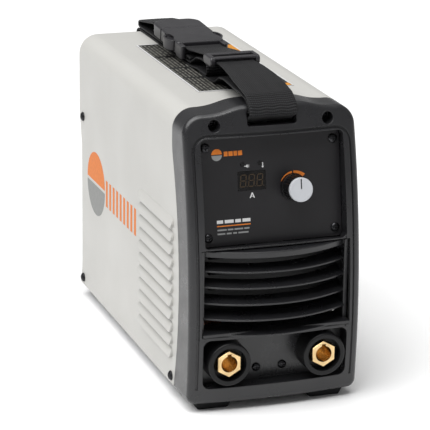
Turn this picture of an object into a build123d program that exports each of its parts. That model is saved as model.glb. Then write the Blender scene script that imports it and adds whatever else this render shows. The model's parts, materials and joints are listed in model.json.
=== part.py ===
"""Stick welding inverter: a portable arc power source with a folded carrying strap.

Right-handed frame in millimetres. +Z is up, the front faces -Y, and the origin is the middle of the
footprint on the floor.
"""

import os
from math import acos, cos, radians, sin, sqrt, tan

from build123d import *

os.makedirs("parts", exist_ok=True)

# Casing ------------------------------------------------------------------------------------
WIDTH = 140.0
HALF = WIDTH / 2
FOOT_HEIGHT = 7.0
Z0 = 11.0  # height of the casing's bottom edge above the floor
Y0 = -151.3  # the panel's foot plane, fore and aft
CASE_HEIGHT = 222.4
TOP = Z0 + CASE_HEIGHT
CORNER = 16.0
SHEET = 1.2
GAP = 0.3  # clearance between neighbouring pieces
REAR_EDGE = Y0 + 298.0
REAR_WAIST = Y0 + 291.0

# Front frame -------------------------------------------------------------------------------
FRAME_BOTTOM = Z0 - 4.0
FRAME_NOSE = Y0 - 13.0
FRAME_APEX_Z = Z0 + 60.0
FRAME_ARC = 560.0
FRAME_BOW = 500.0
WALL = 3.0
CREST = 5.6  # rise of the middle of the frame above the casing's top
CREST_HALF = 15.0
JOINT_Y = Y0 + 39.0  # where the frame meets the casing at the top
JOINT_ARC = 310.0
JOINT_APEX = (Y0 + 19.2, Z0 + 82.0)
FLANGE = 14.0
GROOVE_X, GROOVE_TOP = 63.4, Z0 + 206.8
GROOVE_WIDTH = 1.8
BEAD_INNER = 57.6
EDGE_ROUND = 5.0

# Control panel -----------------------------------------------------------------------------
TILT = 9.0
PANEL_WIDTH, PANEL_HEIGHT, PANEL_THICK = 115.0, 83.0, 2.0
PANEL_CENTRE = (0, Y0 + 9.4, Z0 + 162.0)
PANEL_SCREW = (51.85, 34.7)
DISPLAY_AT, DISPLAY_SIZE = (-14.95, 7.1), (22.8, 15.2)
LAMPS_AT = [(-22.2, 20.0), (-8.0, 20.0)]
LAMP_RADIUS = 1.6
KNOB_AT = (18.5, -0.8)
KNOB_RADIUS, KNOB_HEIGHT = 10.6, 17.2
CAP_RADIUS = 9.4

# Grille ------------------------------------------------------------------------------------
BLADE_BOW = 109.0
BLADE_HALF = 60.2
BLADE_EDGES = [(104.2, -17.6), (91.7, -18.9), (79.0, -20.0), (66.6, -20.8), (53.6, -19.4)]
BLADE_DEPTH, BLADE_RISE, BLADE_FACE = 12.0, 3.4, 1.3
LIP_Z, LIP_NOSE = Z0 + 119.4, Y0 - 18.0

# Output sockets ----------------------------------------------------------------------------
POCKET_HALF, POCKET_LOW, POCKET_HIGH = 59.0, Z0 + 9.6, Z0 + 49.7
POCKET_BACK = Y0 + 5.0
SOCKET_X, SOCKET_Z = 38.9, Z0 + 30.0
SOCKET_FRONT = Y0 - 14.0
RING_RADIUS = 17.3
BORE_RADIUS, BORE_DEPTH = 6.5, 27.0

# Carrying strap ----------------------------------------------------------------------------
STRAP_THICK = 1.6
STRAP_WIDE, STRAP_NARROW = 38.6, 31.2  # spread in the front slot, gathered in the 32 mm fittings
SLOT_HALF, SLOT_LOW, SLOT_HIGH = 19.9, Z0 + 212.2, Z0 + 223.8
BAR_RADIUS = 3.0
FRONT_BAR = (Y0 + 24.0, Z0 + 217.0)
REAR_BAR = (Y0 + 292.0, Z0 + 210.5)
BUCKLE_TILT = 2.6
BUCKLE_FRONT = (0, Y0 + 172.0, Z0 + 233.6)

# Rear cover and fan ------------------------------------------------------------------------
REAR_BOW = 200.0
REAR_NOSE = Y0 + 306.0
REAR_START = Y0 + 277.0
FAN_SIZE, FAN_DEPTH = 119.0, 25.0
FAN_AT = (0, Y0 + 264.0, Z0 + 70.0)
ROCKER_AT = (-34.0, Z0 + 176.0)
GLAND_AT = (32.0, Z0 + 176.0)
SIDE_SCREWS = [(Y0 + 36.5, Z0 + 6.4), (Y0 + 286.4, Z0 + 6.4), (Y0 + 286.4, Z0 + 153.0)]


def facing(y):
    """A plane seen from the front at depth y: its x is X and its y is Z."""
    return Plane(origin=(0, y, 0), x_dir=(1, 0, 0), z_dir=(0, -1, 0))


def tilted(origin, angle):
    """A plane facing the front whose top leans back by an angle."""
    lean = radians(angle)
    return Plane(origin=origin, x_dir=(1, 0, 0), z_dir=(0, -cos(lean), sin(lean)))


def shelf(origin, angle):
    """A plane facing up whose far side rises by an angle: its y runs to the rear."""
    lean = radians(angle)
    return Plane(origin=origin, x_dir=(1, 0, 0), z_dir=(0, -sin(lean), cos(lean)))


def save(part, label):
    part.label = label
    export_step(part, f"parts/{label}.step")


def frame_depth(z, inset=0.0):
    """Depth of the frame's front surface on the centre plane at height z."""
    return FRAME_NOSE + inset + FRAME_ARC - sqrt(FRAME_ARC**2 - (z - FRAME_APEX_Z) ** 2)


def casing_outline(inset, low, crest):
    """Front view of the casing, with the frame's raised middle when crest is above zero."""
    side, top, corner = HALF - inset, TOP - inset, CORNER - inset
    foot = 7.0
    with BuildSketch() as outline:
        with BuildLine():
            Line((0, low + inset), (side - foot, low + inset))
            RadiusArc((side - foot, low + inset), (side, low + inset + foot), -foot)
            Line((side, low + inset + foot), (side, top - corner))
            RadiusArc((side, top - corner), (side - corner, top), -corner)
            if crest:
                start, end = side - corner, CREST_HALF
                middle = (start + end) / 2
                Bezier((start, top), (middle, top), (middle, top + crest), (end, top + crest))
                Line((end, top + crest), (0, top + crest))
            else:
                Line((side - corner, top), (0, top))
            mirror(about=Plane.YZ)
        make_face()
    return outline.sketch


def barrel(inset):
    """The solid behind the frame's doubly curved front surface."""
    axis_y = FRAME_NOSE + FRAME_BOW
    low, high = FRAME_BOTTOM - 10, TOP + 20
    with BuildPart() as body:
        with BuildSketch(Plane.YZ):
            with BuildLine():
                ThreePointArc(
                    (frame_depth(low, inset), low),
                    (frame_depth(FRAME_APEX_Z, inset), FRAME_APEX_Z),
                    (frame_depth(high, inset), high),
                )
                Polyline(
                    (frame_depth(high, inset), high),
                    (axis_y, high),
                    (axis_y, low),
                    (frame_depth(low, inset), low),
                )
            make_face()
        revolve(axis=Axis((0, axis_y, 0), (0, 0, 1)), revolution_arc=360)
    return body.part


def joint_profile(shift, front=-60.0):
    """Side view of all that lies ahead of the seam between frame and casing, moved back by shift."""
    apex_y, apex_z = JOINT_APEX
    meet = apex_z + sqrt(2 * JOINT_ARC * (JOINT_Y - apex_y) - (JOINT_Y - apex_y) ** 2)
    low, high = FRAME_BOTTOM - 5, TOP + 20
    low_y = apex_y + JOINT_ARC - sqrt(JOINT_ARC**2 - (low - apex_z) ** 2)
    with BuildSketch() as side:
        with BuildLine():
            ThreePointArc((low_y + shift, low), (apex_y + shift, apex_z), (JOINT_Y + shift, meet))
            Polyline(
                (JOINT_Y + shift, meet),
                (JOINT_Y + shift, high),
                (Y0 + front, high),
                (Y0 + front, low),
                (low_y + shift, low),
            )
        make_face()
        fillet(side.vertices().sort_by_distance((JOINT_Y + shift, meet))[0], 40)
    return side.sketch


def slab(sketch, plane, amount, both=False):
    """A sketch drawn at the origin, placed on a plane and extruded."""
    return extrude(plane * sketch, amount=amount, both=both)


def arch_band(outer, outer_top, inner, inner_top, low, corner):
    """An upside-down U seen from the front."""
    with BuildSketch() as band:
        for half, top, radius, mode in (
            (outer, outer_top, corner, Mode.ADD),
            (inner, inner_top, corner - (outer - inner), Mode.SUBTRACT),
        ):
            with BuildLine():
                Polyline((-half, low), (-half, top - radius))
                RadiusArc((-half, top - radius), (-half + radius, top), radius)
                Line((-half + radius, top), (half - radius, top))
                RadiusArc((half - radius, top), (half, top - radius), radius)
                Polyline((half, top - radius), (half, low), (-half, low))
            make_face(mode=mode)
    return band.sketch


# Front frame: a hollow plastic moulding with a panel recess, a socket pocket and a strap slot --
FRONT = facing(Y0 - 60)
PANEL_PLANE = tilted(PANEL_CENTRE, TILT)
POCKET_MIDDLE, POCKET_HEIGHT = (POCKET_LOW + POCKET_HIGH) / 2, POCKET_HIGH - POCKET_LOW
SLOT_MIDDLE, SLOT_HEIGHT = (SLOT_LOW + SLOT_HIGH) / 2, SLOT_HIGH - SLOT_LOW
DEEP_SCREWS, DEEP_SEAT = [(-45.9, Z0 + 214), (45.9, Z0 + 214)], Y0 + 22.0
POCKET_SCREWS = [(-10.8, Z0 + 18.6), (10.8, Z0 + 18.6)]


def frame_body():
    """The frame's outer shape, with its front edge rounded."""
    outline = slab(casing_outline(0, FRAME_BOTTOM, CREST), FRONT, -120)
    ahead = slab(joint_profile(0), Plane.YZ, 90, both=True)
    skin = barrel(0)
    with BuildPart() as body:
        add(outline)
        add(skin, mode=Mode.INTERSECT)
        add(ahead, mode=Mode.INTERSECT)
        front_face = body.faces().sort_by(Axis.Y)[0]
        fillet(front_face.edges(), EDGE_ROUND)
    return body.part


def frame_flange():
    """The lip behind the seam, which the casing slides over."""
    outline = slab(casing_outline(SHEET + GAP, FRAME_BOTTOM, 0), FRONT, -140)
    ahead = slab(joint_profile(FLANGE), Plane.YZ, 90, both=True)
    forward = slab(joint_profile(-2.0), Plane.YZ, 90, both=True)
    with BuildPart() as flange:
        add(outline)
        add(ahead, mode=Mode.INTERSECT)
        add(forward, mode=Mode.SUBTRACT)
    return flange.part


def frame_hollow():
    outline = slab(casing_outline(SHEET + GAP + WALL, FRAME_BOTTOM, CREST), FRONT, -150)
    skin = barrel(WALL)
    with BuildPart() as hollow:
        add(outline)
        add(skin, mode=Mode.INTERSECT)
    return hollow.part


def frame_blocks():
    """Solid blocks that the recess, the pocket and the strap slot are cut from."""
    skin = barrel(2)
    with BuildPart() as blocks:
        with BuildSketch(PANEL_PLANE.offset(-PANEL_THICK - WALL)):
            RectangleRounded(PANEL_WIDTH + 8, PANEL_HEIGHT + 10, 6)
        extrude(amount=60)
        with BuildSketch(facing(POCKET_BACK + WALL)):
            with Locations((0, POCKET_MIDDLE)):
                Rectangle(2 * POCKET_HALF + 8, POCKET_HEIGHT + 6)
        extrude(amount=60)
        with BuildSketch(facing(Y0 + 17)):
            with Locations((0, SLOT_MIDDLE)):
                Rectangle(2 * SLOT_HALF + 5, SLOT_HEIGHT + 4)
        extrude(amount=60)
        with BuildSketch(facing(Y0 + 26)):
            with Locations(*DEEP_SCREWS):
                Circle(6.6)
        extrude(amount=60)
        add(skin, mode=Mode.INTERSECT)
    return blocks.part


def frame_groove():
    half, top, width = GROOVE_X, GROOVE_TOP, GROOVE_WIDTH / 2
    band = arch_band(half + width, top + width, half - width, top - width, Z0 + 9, 13)
    ring, skin = slab(band, FRONT, -100), barrel(1.2)
    with BuildPart() as groove:
        add(ring)
        add(skin, mode=Mode.SUBTRACT)
    return groove.part


def frame_bead():
    half, top, width = GROOVE_X, GROOVE_TOP, GROOVE_WIDTH / 2
    outer = half - width + 0.4
    band = arch_band(outer, top - width + 0.4, BEAD_INNER, top - 5.6, Z0 + 50, 11)
    ring, crown, root = slab(band, FRONT, -100), barrel(-0.9), barrel(1.5)
    with BuildPart() as bead:
        add(ring)
        add(crown, mode=Mode.INTERSECT)
        add(root, mode=Mode.SUBTRACT)
    return bead.part


frame_pieces = [frame_body(), frame_flange()]
frame_inside = frame_hollow()
frame_relief = [frame_blocks(), frame_bead()]
groove_cut = frame_groove()

with BuildPart() as front_frame:
    add(frame_pieces)
    add(frame_inside, mode=Mode.SUBTRACT)
    add(frame_relief)
    add(groove_cut, mode=Mode.SUBTRACT)
    # the recess, with a window for the electronics behind the panel
    with BuildSketch(PANEL_PLANE.offset(-PANEL_THICK)):
        RectangleRounded(PANEL_WIDTH + 2 * GAP, PANEL_HEIGHT + 2 * GAP, 4)
    extrude(amount=60, mode=Mode.SUBTRACT)
    with BuildSketch(PANEL_PLANE.offset(-PANEL_THICK)):
        RectangleRounded(92, 60, 3)
        with GridLocations(2 * PANEL_SCREW[0], 2 * PANEL_SCREW[1], 2, 2):
            Circle(1.6)
    extrude(amount=-WALL - 1, mode=Mode.SUBTRACT)
    # the pocket round the sockets
    with BuildSketch(facing(POCKET_BACK)):
        with Locations((0, POCKET_MIDDLE)):
            RectangleRounded(2 * POCKET_HALF, POCKET_HEIGHT, 6)
    extrude(amount=60, mode=Mode.SUBTRACT)
    with BuildSketch(facing(POCKET_BACK)):
        with Locations((-SOCKET_X, SOCKET_Z), (SOCKET_X, SOCKET_Z)):
            Circle(12.0 + GAP)
        with Locations(*POCKET_SCREWS):
            Circle(1.6)
    extrude(amount=-WALL - 1, mode=Mode.SUBTRACT)
    # the opening behind the grille
    with BuildSketch(FRONT):
        with Locations((0, Z0 + 86.7)):
            Rectangle(2 * BLADE_HALF + 2 * GAP, 69.0)
    extrude(amount=-110, mode=Mode.SUBTRACT)
    # strap slot, and the two deep screw holes beside it
    with BuildSketch(FRONT):
        with Locations((0, SLOT_MIDDLE)):
            RectangleRounded(2 * SLOT_HALF, SLOT_HEIGHT, 2)
        with Locations(*DEEP_SCREWS):
            Circle(2.1)
    extrude(amount=-90, mode=Mode.SUBTRACT)
    with BuildSketch(facing(DEEP_SEAT)):
        with Locations(*DEEP_SCREWS):
            Circle(4.7)
    extrude(amount=70, mode=Mode.SUBTRACT)
    with Locations(Location((0, *SIDE_SCREWS[0]), (0, 90, 0))):
        Cylinder(2.0, WIDTH, mode=Mode.SUBTRACT)
save(front_frame.part, "front_frame")


# Grille: the shelf below the panel and five bowed blades on two side rails --------------------
def blade(nose_y, edge_z, section):
    """A bowed blade with the given section, (depth behind the nose, height) pairs, cut to length."""
    axis = Axis((0, nose_y + BLADE_BOW, 0), (0, 0, 1))
    with BuildPart() as body:
        with BuildSketch(Plane.YZ):
            with BuildLine():
                Polyline(*[(nose_y + depth, edge_z + height) for depth, height in section], close=True)
            make_face()
        revolve(axis=axis, revolution_arc=360)
        with BuildSketch(facing(Y0 + 20)):
            with Locations((0, edge_z)):
                Rectangle(2 * BLADE_HALF, 40)
        extrude(amount=60, mode=Mode.INTERSECT)
    return body.part


blade_section = [
    (0, 0), (0, BLADE_FACE), (BLADE_DEPTH, BLADE_FACE + BLADE_RISE), (BLADE_DEPTH, BLADE_RISE),
]
lip_section = [(0, -4.2), (0, 0), (1, 0.6), (22, 1.0), (22, -1.6), (8, -1.6)]
grille_pieces = [blade(LIP_NOSE, LIP_Z, lip_section)]
grille_pieces += [
    blade(Y0 + depth, Z0 + height - BLADE_FACE, blade_section) for height, depth in BLADE_EDGES
]

with BuildPart() as grille:
    add(grille_pieces)
    with BuildSketch(facing(Y0 + 12)):
        with Locations((-BLADE_HALF + 1.5, Z0 + 86.4), (BLADE_HALF - 1.5, Z0 + 86.4)):
            Rectangle(3, 66.8)
    extrude(amount=16)
    with BuildSketch(facing(Y0 + 12)):
        with Locations((0, Z0 + 54.2)):
            Rectangle(2 * BLADE_HALF, 2.4)
    extrude(amount=24)
save(grille.part, "grille")

with BuildPart() as air_baffle:  # its slots lie behind the blades
    with BuildSketch(facing(Y0 + 34)):
        with Locations((0, Z0 + 88)):
            Rectangle(126, 74)
        with Locations(*[(0, Z0 + height - 2.0) for height, _ in BLADE_EDGES]):
            SlotOverall(84, 4.4, mode=Mode.SUBTRACT)
    extrude(amount=-1.5)
save(air_baffle.part, "air_baffle")


# Control panel and what shows on it -----------------------------------------------------------
with BuildPart() as control_panel:
    with BuildSketch(PANEL_PLANE):
        RectangleRounded(PANEL_WIDTH, PANEL_HEIGHT, 3.6)
        with GridLocations(2 * PANEL_SCREW[0], 2 * PANEL_SCREW[1], 2, 2):
            Circle(2.1, mode=Mode.SUBTRACT)
        with Locations(DISPLAY_AT):
            Rectangle(*DISPLAY_SIZE, mode=Mode.SUBTRACT)
        with Locations(*LAMPS_AT):
            Circle(LAMP_RADIUS + 0.1, mode=Mode.SUBTRACT)
        with Locations(KNOB_AT):
            Circle(4.2, mode=Mode.SUBTRACT)
    extrude(amount=-PANEL_THICK)
save(control_panel.part, "control_panel")

with BuildPart() as display_window:
    with BuildSketch(PANEL_PLANE.offset(-0.3)):
        with Locations(DISPLAY_AT):
            Rectangle(DISPLAY_SIZE[0] - 0.2, DISPLAY_SIZE[1] - 0.2)
    extrude(amount=-PANEL_THICK + 0.3)
save(display_window.part, "display_window")

with BuildPart() as display_module:
    with BuildSketch(PANEL_PLANE.offset(-PANEL_THICK - 0.3)):
        with Locations(DISPLAY_AT):
            Rectangle(22.4, 14.4)
    extrude(amount=-8.7)
save(display_module.part, "display_module")

with BuildPart() as indicator_lamps:
    with BuildSketch(PANEL_PLANE.offset(-11)):
        with Locations(*LAMPS_AT):
            Circle(LAMP_RADIUS)
    extrude(amount=11.4)
save(indicator_lamps.part, "indicator_lamps")

with BuildPart() as control_board:
    with BuildSketch(PANEL_PLANE.offset(-11)):
        Rectangle(88, 56)
        with Locations(*LAMPS_AT):
            Circle(LAMP_RADIUS + 0.1, mode=Mode.SUBTRACT)
    extrude(amount=-1.6)
save(control_board.part, "control_board")

with BuildPart() as dial_sensor:  # the potentiometer under the knob
    with BuildSketch(PANEL_PLANE.offset(-PANEL_THICK - 0.4)):
        with Locations(KNOB_AT):
            Circle(8.2)
    extrude(amount=-8.6)
    with BuildSketch(PANEL_PLANE.offset(-PANEL_THICK - 0.4)):
        with Locations(KNOB_AT):
            Circle(3.6)
    extrude(amount=PANEL_THICK + 3.4)
    with BuildSketch(PANEL_PLANE.offset(2.9)):
        with Locations(KNOB_AT):
            Circle(3.0)
    extrude(amount=9)
save(dial_sensor.part, "dial_sensor")

with BuildPart() as knob:
    with BuildSketch(PANEL_PLANE.offset(0.5)):
        with Locations(KNOB_AT):
            Circle(KNOB_RADIUS)
    extrude(amount=3.2)
    with BuildSketch(PANEL_PLANE.offset(3.7)):
        with Locations(KNOB_AT):
            Circle(KNOB_RADIUS - 0.7)
            with PolarLocations(KNOB_RADIUS - 0.5, 24):
                Circle(0.75, mode=Mode.SUBTRACT)
    extrude(amount=KNOB_HEIGHT - 5.7)
    with BuildSketch(PANEL_PLANE.offset(0.5)):
        with Locations(KNOB_AT):
            Circle(6.4)
    extrude(amount=4.2, mode=Mode.SUBTRACT)
    with BuildSketch(PANEL_PLANE.offset(0.5)):
        with Locations(KNOB_AT):
            Circle(3.05)
    extrude(amount=12, mode=Mode.SUBTRACT)
save(knob.part, "knob")

with BuildPart() as knob_cap:
    with BuildSketch(PANEL_PLANE.offset(KNOB_HEIGHT - 2.0)):
        with Locations(KNOB_AT):
            Circle(CAP_RADIUS)
    extrude(amount=2.8)
    fillet(knob_cap.faces().sort_by(Axis.Y)[0].edges(), 0.6)
    with BuildSketch(PANEL_PLANE.offset(KNOB_HEIGHT + 0.8)):
        with Locations((KNOB_AT[0], KNOB_AT[1] + CAP_RADIUS / 2)):
            Rectangle(0.9, CAP_RADIUS - 1.6)
    extrude(amount=-0.5, mode=Mode.SUBTRACT)
save(knob_cap.part, "knob_cap")


# Cross-recessed screws ------------------------------------------------------------------------
def screw(head_radius, head_height, shank_radius, length):
    """A pan-head screw at the origin: its head stands above Z = 0 and its shank hangs below."""
    with BuildPart() as body:
        with BuildSketch(Plane.XZ):
            with BuildLine():
                Line((0, 0), (head_radius, 0))
                Line((head_radius, 0), (head_radius, head_height * 0.35))
                ThreePointArc(
                    (head_radius, head_height * 0.35),
                    (head_radius * 0.72, head_height * 0.86),
                    (0, head_height),
                )
                Line((0, head_height), (0, 0))
            make_face()
        revolve(axis=Axis.Z)
        with Locations((0, 0, -length / 2)):
            Cylinder(shank_radius, length)
        for turn in (0, 90):
            with Locations(Location((0, 0, head_height), (0, 0, turn))):
                Box(head_radius * 1.15, head_radius * 0.26, head_height * 1.2, mode=Mode.SUBTRACT)
    return body.part


def screw_group(label, shape, planes):
    """Identical screws, each with its head on a plane, written as one group."""
    screws = [plane.location * shape for plane in planes]
    group = Compound(children=screws)
    save(group, label)
    return group


panel_screw_planes = [
    Plane(PANEL_PLANE.from_local_coords((x, y, 0)), x_dir=(1, 0, 0), z_dir=PANEL_PLANE.z_dir)
    for x in (-PANEL_SCREW[0], PANEL_SCREW[0])
    for y in (-PANEL_SCREW[1], PANEL_SCREW[1])
]
panel_screws = screw_group("panel_screws", screw(3.6, 1.9, 1.5, 7), panel_screw_planes)
pocket_screw_planes = [
    Plane(origin=(x, POCKET_BACK, z), x_dir=(1, 0, 0), z_dir=(0, -1, 0)) for x, z in POCKET_SCREWS
]
pocket_screws = screw_group("pocket_screws", screw(3.4, 1.9, 1.5, 8), pocket_screw_planes)
deep_screw_planes = [
    Plane(origin=(x, DEEP_SEAT, z), x_dir=(1, 0, 0), z_dir=(0, -1, 0)) for x, z in DEEP_SCREWS
]
frame_screws = screw_group("frame_screws", screw(4.0, 2.4, 1.9, 10), deep_screw_planes)
side_screw_planes = [
    Plane(origin=(side * HALF, y, z), x_dir=(0, 1, 0), z_dir=(side, 0, 0))
    for side in (-1, 1)
    for y, z in SIDE_SCREWS
]
side_screws = screw_group("side_screws", screw(3.9, 2.3, 1.9, 5.5), side_screw_planes)


# Output sockets -------------------------------------------------------------------------------
def socket_ring(x):
    with BuildPart() as ring:
        with BuildSketch(facing(POCKET_BACK - 0.05)):
            with Locations((x, SOCKET_Z)):
                Circle(RING_RADIUS)
        extrude(amount=POCKET_BACK - 0.05 - SOCKET_FRONT)
        fillet(ring.faces().sort_by(Axis.Y)[0].edges(), 1.4)
        with BuildSketch(facing(POCKET_BACK + WALL + 4)):
            with Locations((x, SOCKET_Z)):
                Circle(12.0)
        extrude(amount=WALL + 4.5)
        with BuildSketch(facing(SOCKET_FRONT)):
            with Locations((x, SOCKET_Z)):
                Circle(13.4)
        extrude(amount=-9, mode=Mode.SUBTRACT)
        with BuildSketch(facing(SOCKET_FRONT)):
            with Locations((x, SOCKET_Z)):
                Circle(9.05)
        extrude(amount=-60, mode=Mode.SUBTRACT)
    return ring.part


def socket_contact(x):
    with BuildPart() as contact:
        with BuildSketch(facing(SOCKET_FRONT + 1.6)):
            with Locations((x, SOCKET_Z)):
                RegularPolygon(11.0, 6, rotation=30)
        extrude(amount=-7.2)
        chamfer(contact.faces().sort_by(Axis.Y)[0].edges(), 0.6)
        with BuildSketch(facing(SOCKET_FRONT + 8.8)):
            with Locations((x, SOCKET_Z)):
                Circle(9.0)
        extrude(amount=-24)
        with BuildSketch(facing(SOCKET_FRONT + 32.8)):
            with Locations((x, SOCKET_Z)):
                Circle(5.0)
        extrude(amount=-14)
        with BuildSketch(facing(SOCKET_FRONT + 1.6)):
            with Locations((x, SOCKET_Z)):
                Circle(BORE_RADIUS)
        extrude(amount=-BORE_DEPTH, mode=Mode.SUBTRACT)
        with BuildSketch(facing(SOCKET_FRONT + 1.6)):
            with Locations((x, SOCKET_Z + BORE_RADIUS)):
                Rectangle(3.2, 3.0)
        extrude(amount=-9, mode=Mode.SUBTRACT)
    return contact.part


def ring_nut(x):
    with BuildPart() as nut:
        with BuildSketch(facing(POCKET_BACK + WALL + 4.1)):
            with Locations((x, SOCKET_Z)):
                RegularPolygon(15.0, 6)
                Circle(9.1, mode=Mode.SUBTRACT)
        extrude(amount=-5)
    return nut.part


def busbar(x):
    """A copper strap from a socket's stud back and up to the main board."""
    lead = 60.0
    with BuildPart() as bar:
        with BuildSketch(facing(SOCKET_FRONT + 33)):
            with Locations((x, SOCKET_Z + 6)):
                Rectangle(14, 28)
            with Locations((x, SOCKET_Z)):
                Circle(5.1, mode=Mode.SUBTRACT)
        extrude(amount=-2)
        with BuildSketch(facing(SOCKET_FRONT + 33)):
            with Locations((x, SOCKET_Z + 19)):
                Rectangle(14, 2)
        extrude(amount=-lead)
    return bar.part


for side, name in ((-1, "negative"), (1, "positive")):
    save(socket_ring(side * SOCKET_X), f"socket_ring_{name}")
    save(socket_contact(side * SOCKET_X), f"socket_contact_{name}")
    save(busbar(side * SOCKET_X), f"busbar_{name}")
socket_nuts = Compound(children=[ring_nut(-SOCKET_X), ring_nut(SOCKET_X)])
save(socket_nuts, "socket_nuts")


# Casing cover: one wrapped sheet with pressed louvres -----------------------------------------
LOUVRE_FIRST, LOUVRE_PITCH, LOUVRES = Z0 + 21.7, 10.62, 11
LOUVRE_FRONT, LOUVRE_REAR = Y0 + 33.0, Y0 + 121.0
LOUVRE_TALL, LOUVRE_PROUD = 8.4, 2.6


def louvre(side, z):
    """One louvre: a bulge with rounded ends, flush at the top and open along its bottom edge."""
    span, middle = LOUVRE_REAR - LOUVRE_FRONT, (LOUVRE_REAR + LOUVRE_FRONT) / 2
    inner = side * (HALF - SHEET / 2)
    with BuildPart() as bulge:
        wall = Plane(origin=(inner, middle, z + LOUVRE_TALL / 2), x_dir=(0, 1, 0), z_dir=(side, 0, 0))
        with BuildSketch(wall):
            RectangleRounded(span, LOUVRE_TALL, LOUVRE_TALL / 2 - 0.01)
        extrude(amount=LOUVRE_PROUD + SHEET / 2)
        with BuildSketch(Plane(origin=(0, LOUVRE_FRONT - 5, 0), x_dir=(1, 0, 0), z_dir=(0, -1, 0))):
            with BuildLine():
                ThreePointArc(
                    (side * (HALF + 0.05), z + LOUVRE_TALL),
                    (side * (HALF + LOUVRE_PROUD * 0.72), z + LOUVRE_TALL * 0.55),
                    (side * (HALF + LOUVRE_PROUD), z),
                )
                Polyline(
                    (side * (HALF + LOUVRE_PROUD), z),
                    (side * (HALF - 5), z),
                    (side * (HALF - 5), z + LOUVRE_TALL),
                    (side * (HALF + 0.05), z + LOUVRE_TALL),
                )
            make_face()
        extrude(amount=-span - 10, mode=Mode.INTERSECT)
    return bulge.part


def louvre_slit(side, z):
    span, middle = LOUVRE_REAR - LOUVRE_FRONT, (LOUVRE_REAR + LOUVRE_FRONT) / 2
    with BuildPart() as slit:
        with Locations((side * (HALF + 0.1), middle, z + 0.9)):
            Box(3.0, span - LOUVRE_TALL, 3.0)
    return slit.part


def rear_edge():
    """Side view of the casing behind its waisted rear edge, to be cut away."""
    with BuildSketch() as side:
        with BuildLine():
            Polyline(
                (REAR_EDGE, TOP + 10),
                (REAR_EDGE, Z0 + 156),
                (REAR_WAIST, Z0 + 126),
                (REAR_WAIST, Z0 + 16),
                (REAR_EDGE, Z0 - 6),
                (REAR_EDGE + 40, Z0 - 6),
                (REAR_EDGE + 40, TOP + 10),
                close=True,
            )
        make_face()
        corners = side.vertices().filter_by(lambda v: v.X < REAR_EDGE + 1 and Z0 < v.Y < TOP)
        fillet(corners, 20)
    return side.sketch


cover_outer = slab(casing_outline(0, Z0 - 20, 0), facing(Y0), -320)
cover_inner = slab(casing_outline(SHEET, Z0 - 24, 0), facing(Y0 - 5), -330)
cover_ahead = slab(joint_profile(0.2), Plane.YZ, 90, both=True)
cover_behind = slab(rear_edge(), Plane.YZ, 90, both=True)
louvre_heights = [LOUVRE_FIRST + row * LOUVRE_PITCH for row in range(LOUVRES)]

with BuildPart() as casing_cover:
    add(cover_outer)
    add(cover_inner, mode=Mode.SUBTRACT)
    add(cover_ahead, mode=Mode.SUBTRACT)
    add(cover_behind, mode=Mode.SUBTRACT)
    with Locations((0, 0, Z0 - 20)):
        Box(400, 900, 40, mode=Mode.SUBTRACT)
    add([louvre(side, z) for side in (-1, 1) for z in louvre_heights])
    add([louvre_slit(side, z) for side in (-1, 1) for z in louvre_heights], mode=Mode.SUBTRACT)
    for y, z in SIDE_SCREWS:
        with Locations(Location((0, y, z), (0, 90, 0))):
            Cylinder(2.1, 2 * HALF + 10, mode=Mode.SUBTRACT)
save(casing_cover.part, "casing_cover")


# Base tray ------------------------------------------------------------------------------------
TRAY_HALF, TRAY_SHEET, TRAY_SIDE = HALF - SHEET - 0.4, 1.5, 15.0
TRAY_FRONT, TRAY_REAR = Y0 + 46.0, Y0 + 274.0
with BuildPart() as base_tray:
    with BuildSketch(facing(TRAY_FRONT)):
        with BuildLine():
            Polyline(
                (-TRAY_HALF, Z0 + TRAY_SIDE), (-TRAY_HALF, Z0 + 0.5), (TRAY_HALF, Z0 + 0.5),
                (TRAY_HALF, Z0 + TRAY_SIDE), (TRAY_HALF - TRAY_SHEET, Z0 + TRAY_SIDE),
                (TRAY_HALF - TRAY_SHEET, Z0 + 2), (-TRAY_HALF + TRAY_SHEET, Z0 + 2),
                (-TRAY_HALF + TRAY_SHEET, Z0 + TRAY_SIDE), close=True,
            )
        make_face()
    extrude(amount=TRAY_FRONT - TRAY_REAR)
    with Locations((0, TRAY_FRONT - 5.5, Z0 + 1.25)):  # tongue on the front frame's floor
        Box(120, 13, TRAY_SHEET)
    with Locations((0, TRAY_REAR + 7, Z0 + 0.5)):  # tongue on the rear cover's floor
        Box(120, 18, 3.0)
save(base_tray.part, "base_tray")


# Rear cover: a bowed moulding with the fan grille, a strap slot, and seats for switch and inlet --
REAR_SLOT_LOW, REAR_SLOT_HIGH = Z0 + 204.8, Z0 + 216.4
REAR_FLAT = Y0 + 300.8
SEATS = [(ROCKER_AT, 36, 40), (GLAND_AT, 34, 34)]
FAN_X, FAN_FRONT, FAN_Z = FAN_AT


def bowed(radius, start):
    """A solid from a depth plane back to a surface bowed to the rear."""
    centre_y = REAR_NOSE - REAR_BOW
    with BuildPart() as body:
        with BuildSketch(Plane.XY.offset(-20)):
            with Locations((0, centre_y)):
                Circle(radius)
        extrude(amount=300)
        with Locations((0, start - 200, 100)):
            Box(600, 400, 500, mode=Mode.SUBTRACT)
    return body.part


rear_outline = casing_outline(SHEET + GAP, FRAME_BOTTOM - SHEET - GAP, 0)
rear_inline = casing_outline(SHEET + GAP + WALL, FRAME_BOTTOM - SHEET - GAP, 0)
rear_outer = slab(rear_outline, facing(REAR_START), -60)
rear_inner = slab(rear_inline, facing(REAR_START - 10), -80)
bow_outer, bow_inner = bowed(REAR_BOW, REAR_START), bowed(REAR_BOW - WALL, REAR_START - 20)

with BuildPart() as rear_hollow:
    add(rear_inner)
    add(bow_inner, mode=Mode.INTERSECT)

with BuildPart() as rear_body:
    add(rear_outer)
    add(bow_outer, mode=Mode.INTERSECT)
    fillet(rear_body.faces().sort_by(Axis.Y)[-1].edges(), 4)

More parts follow.
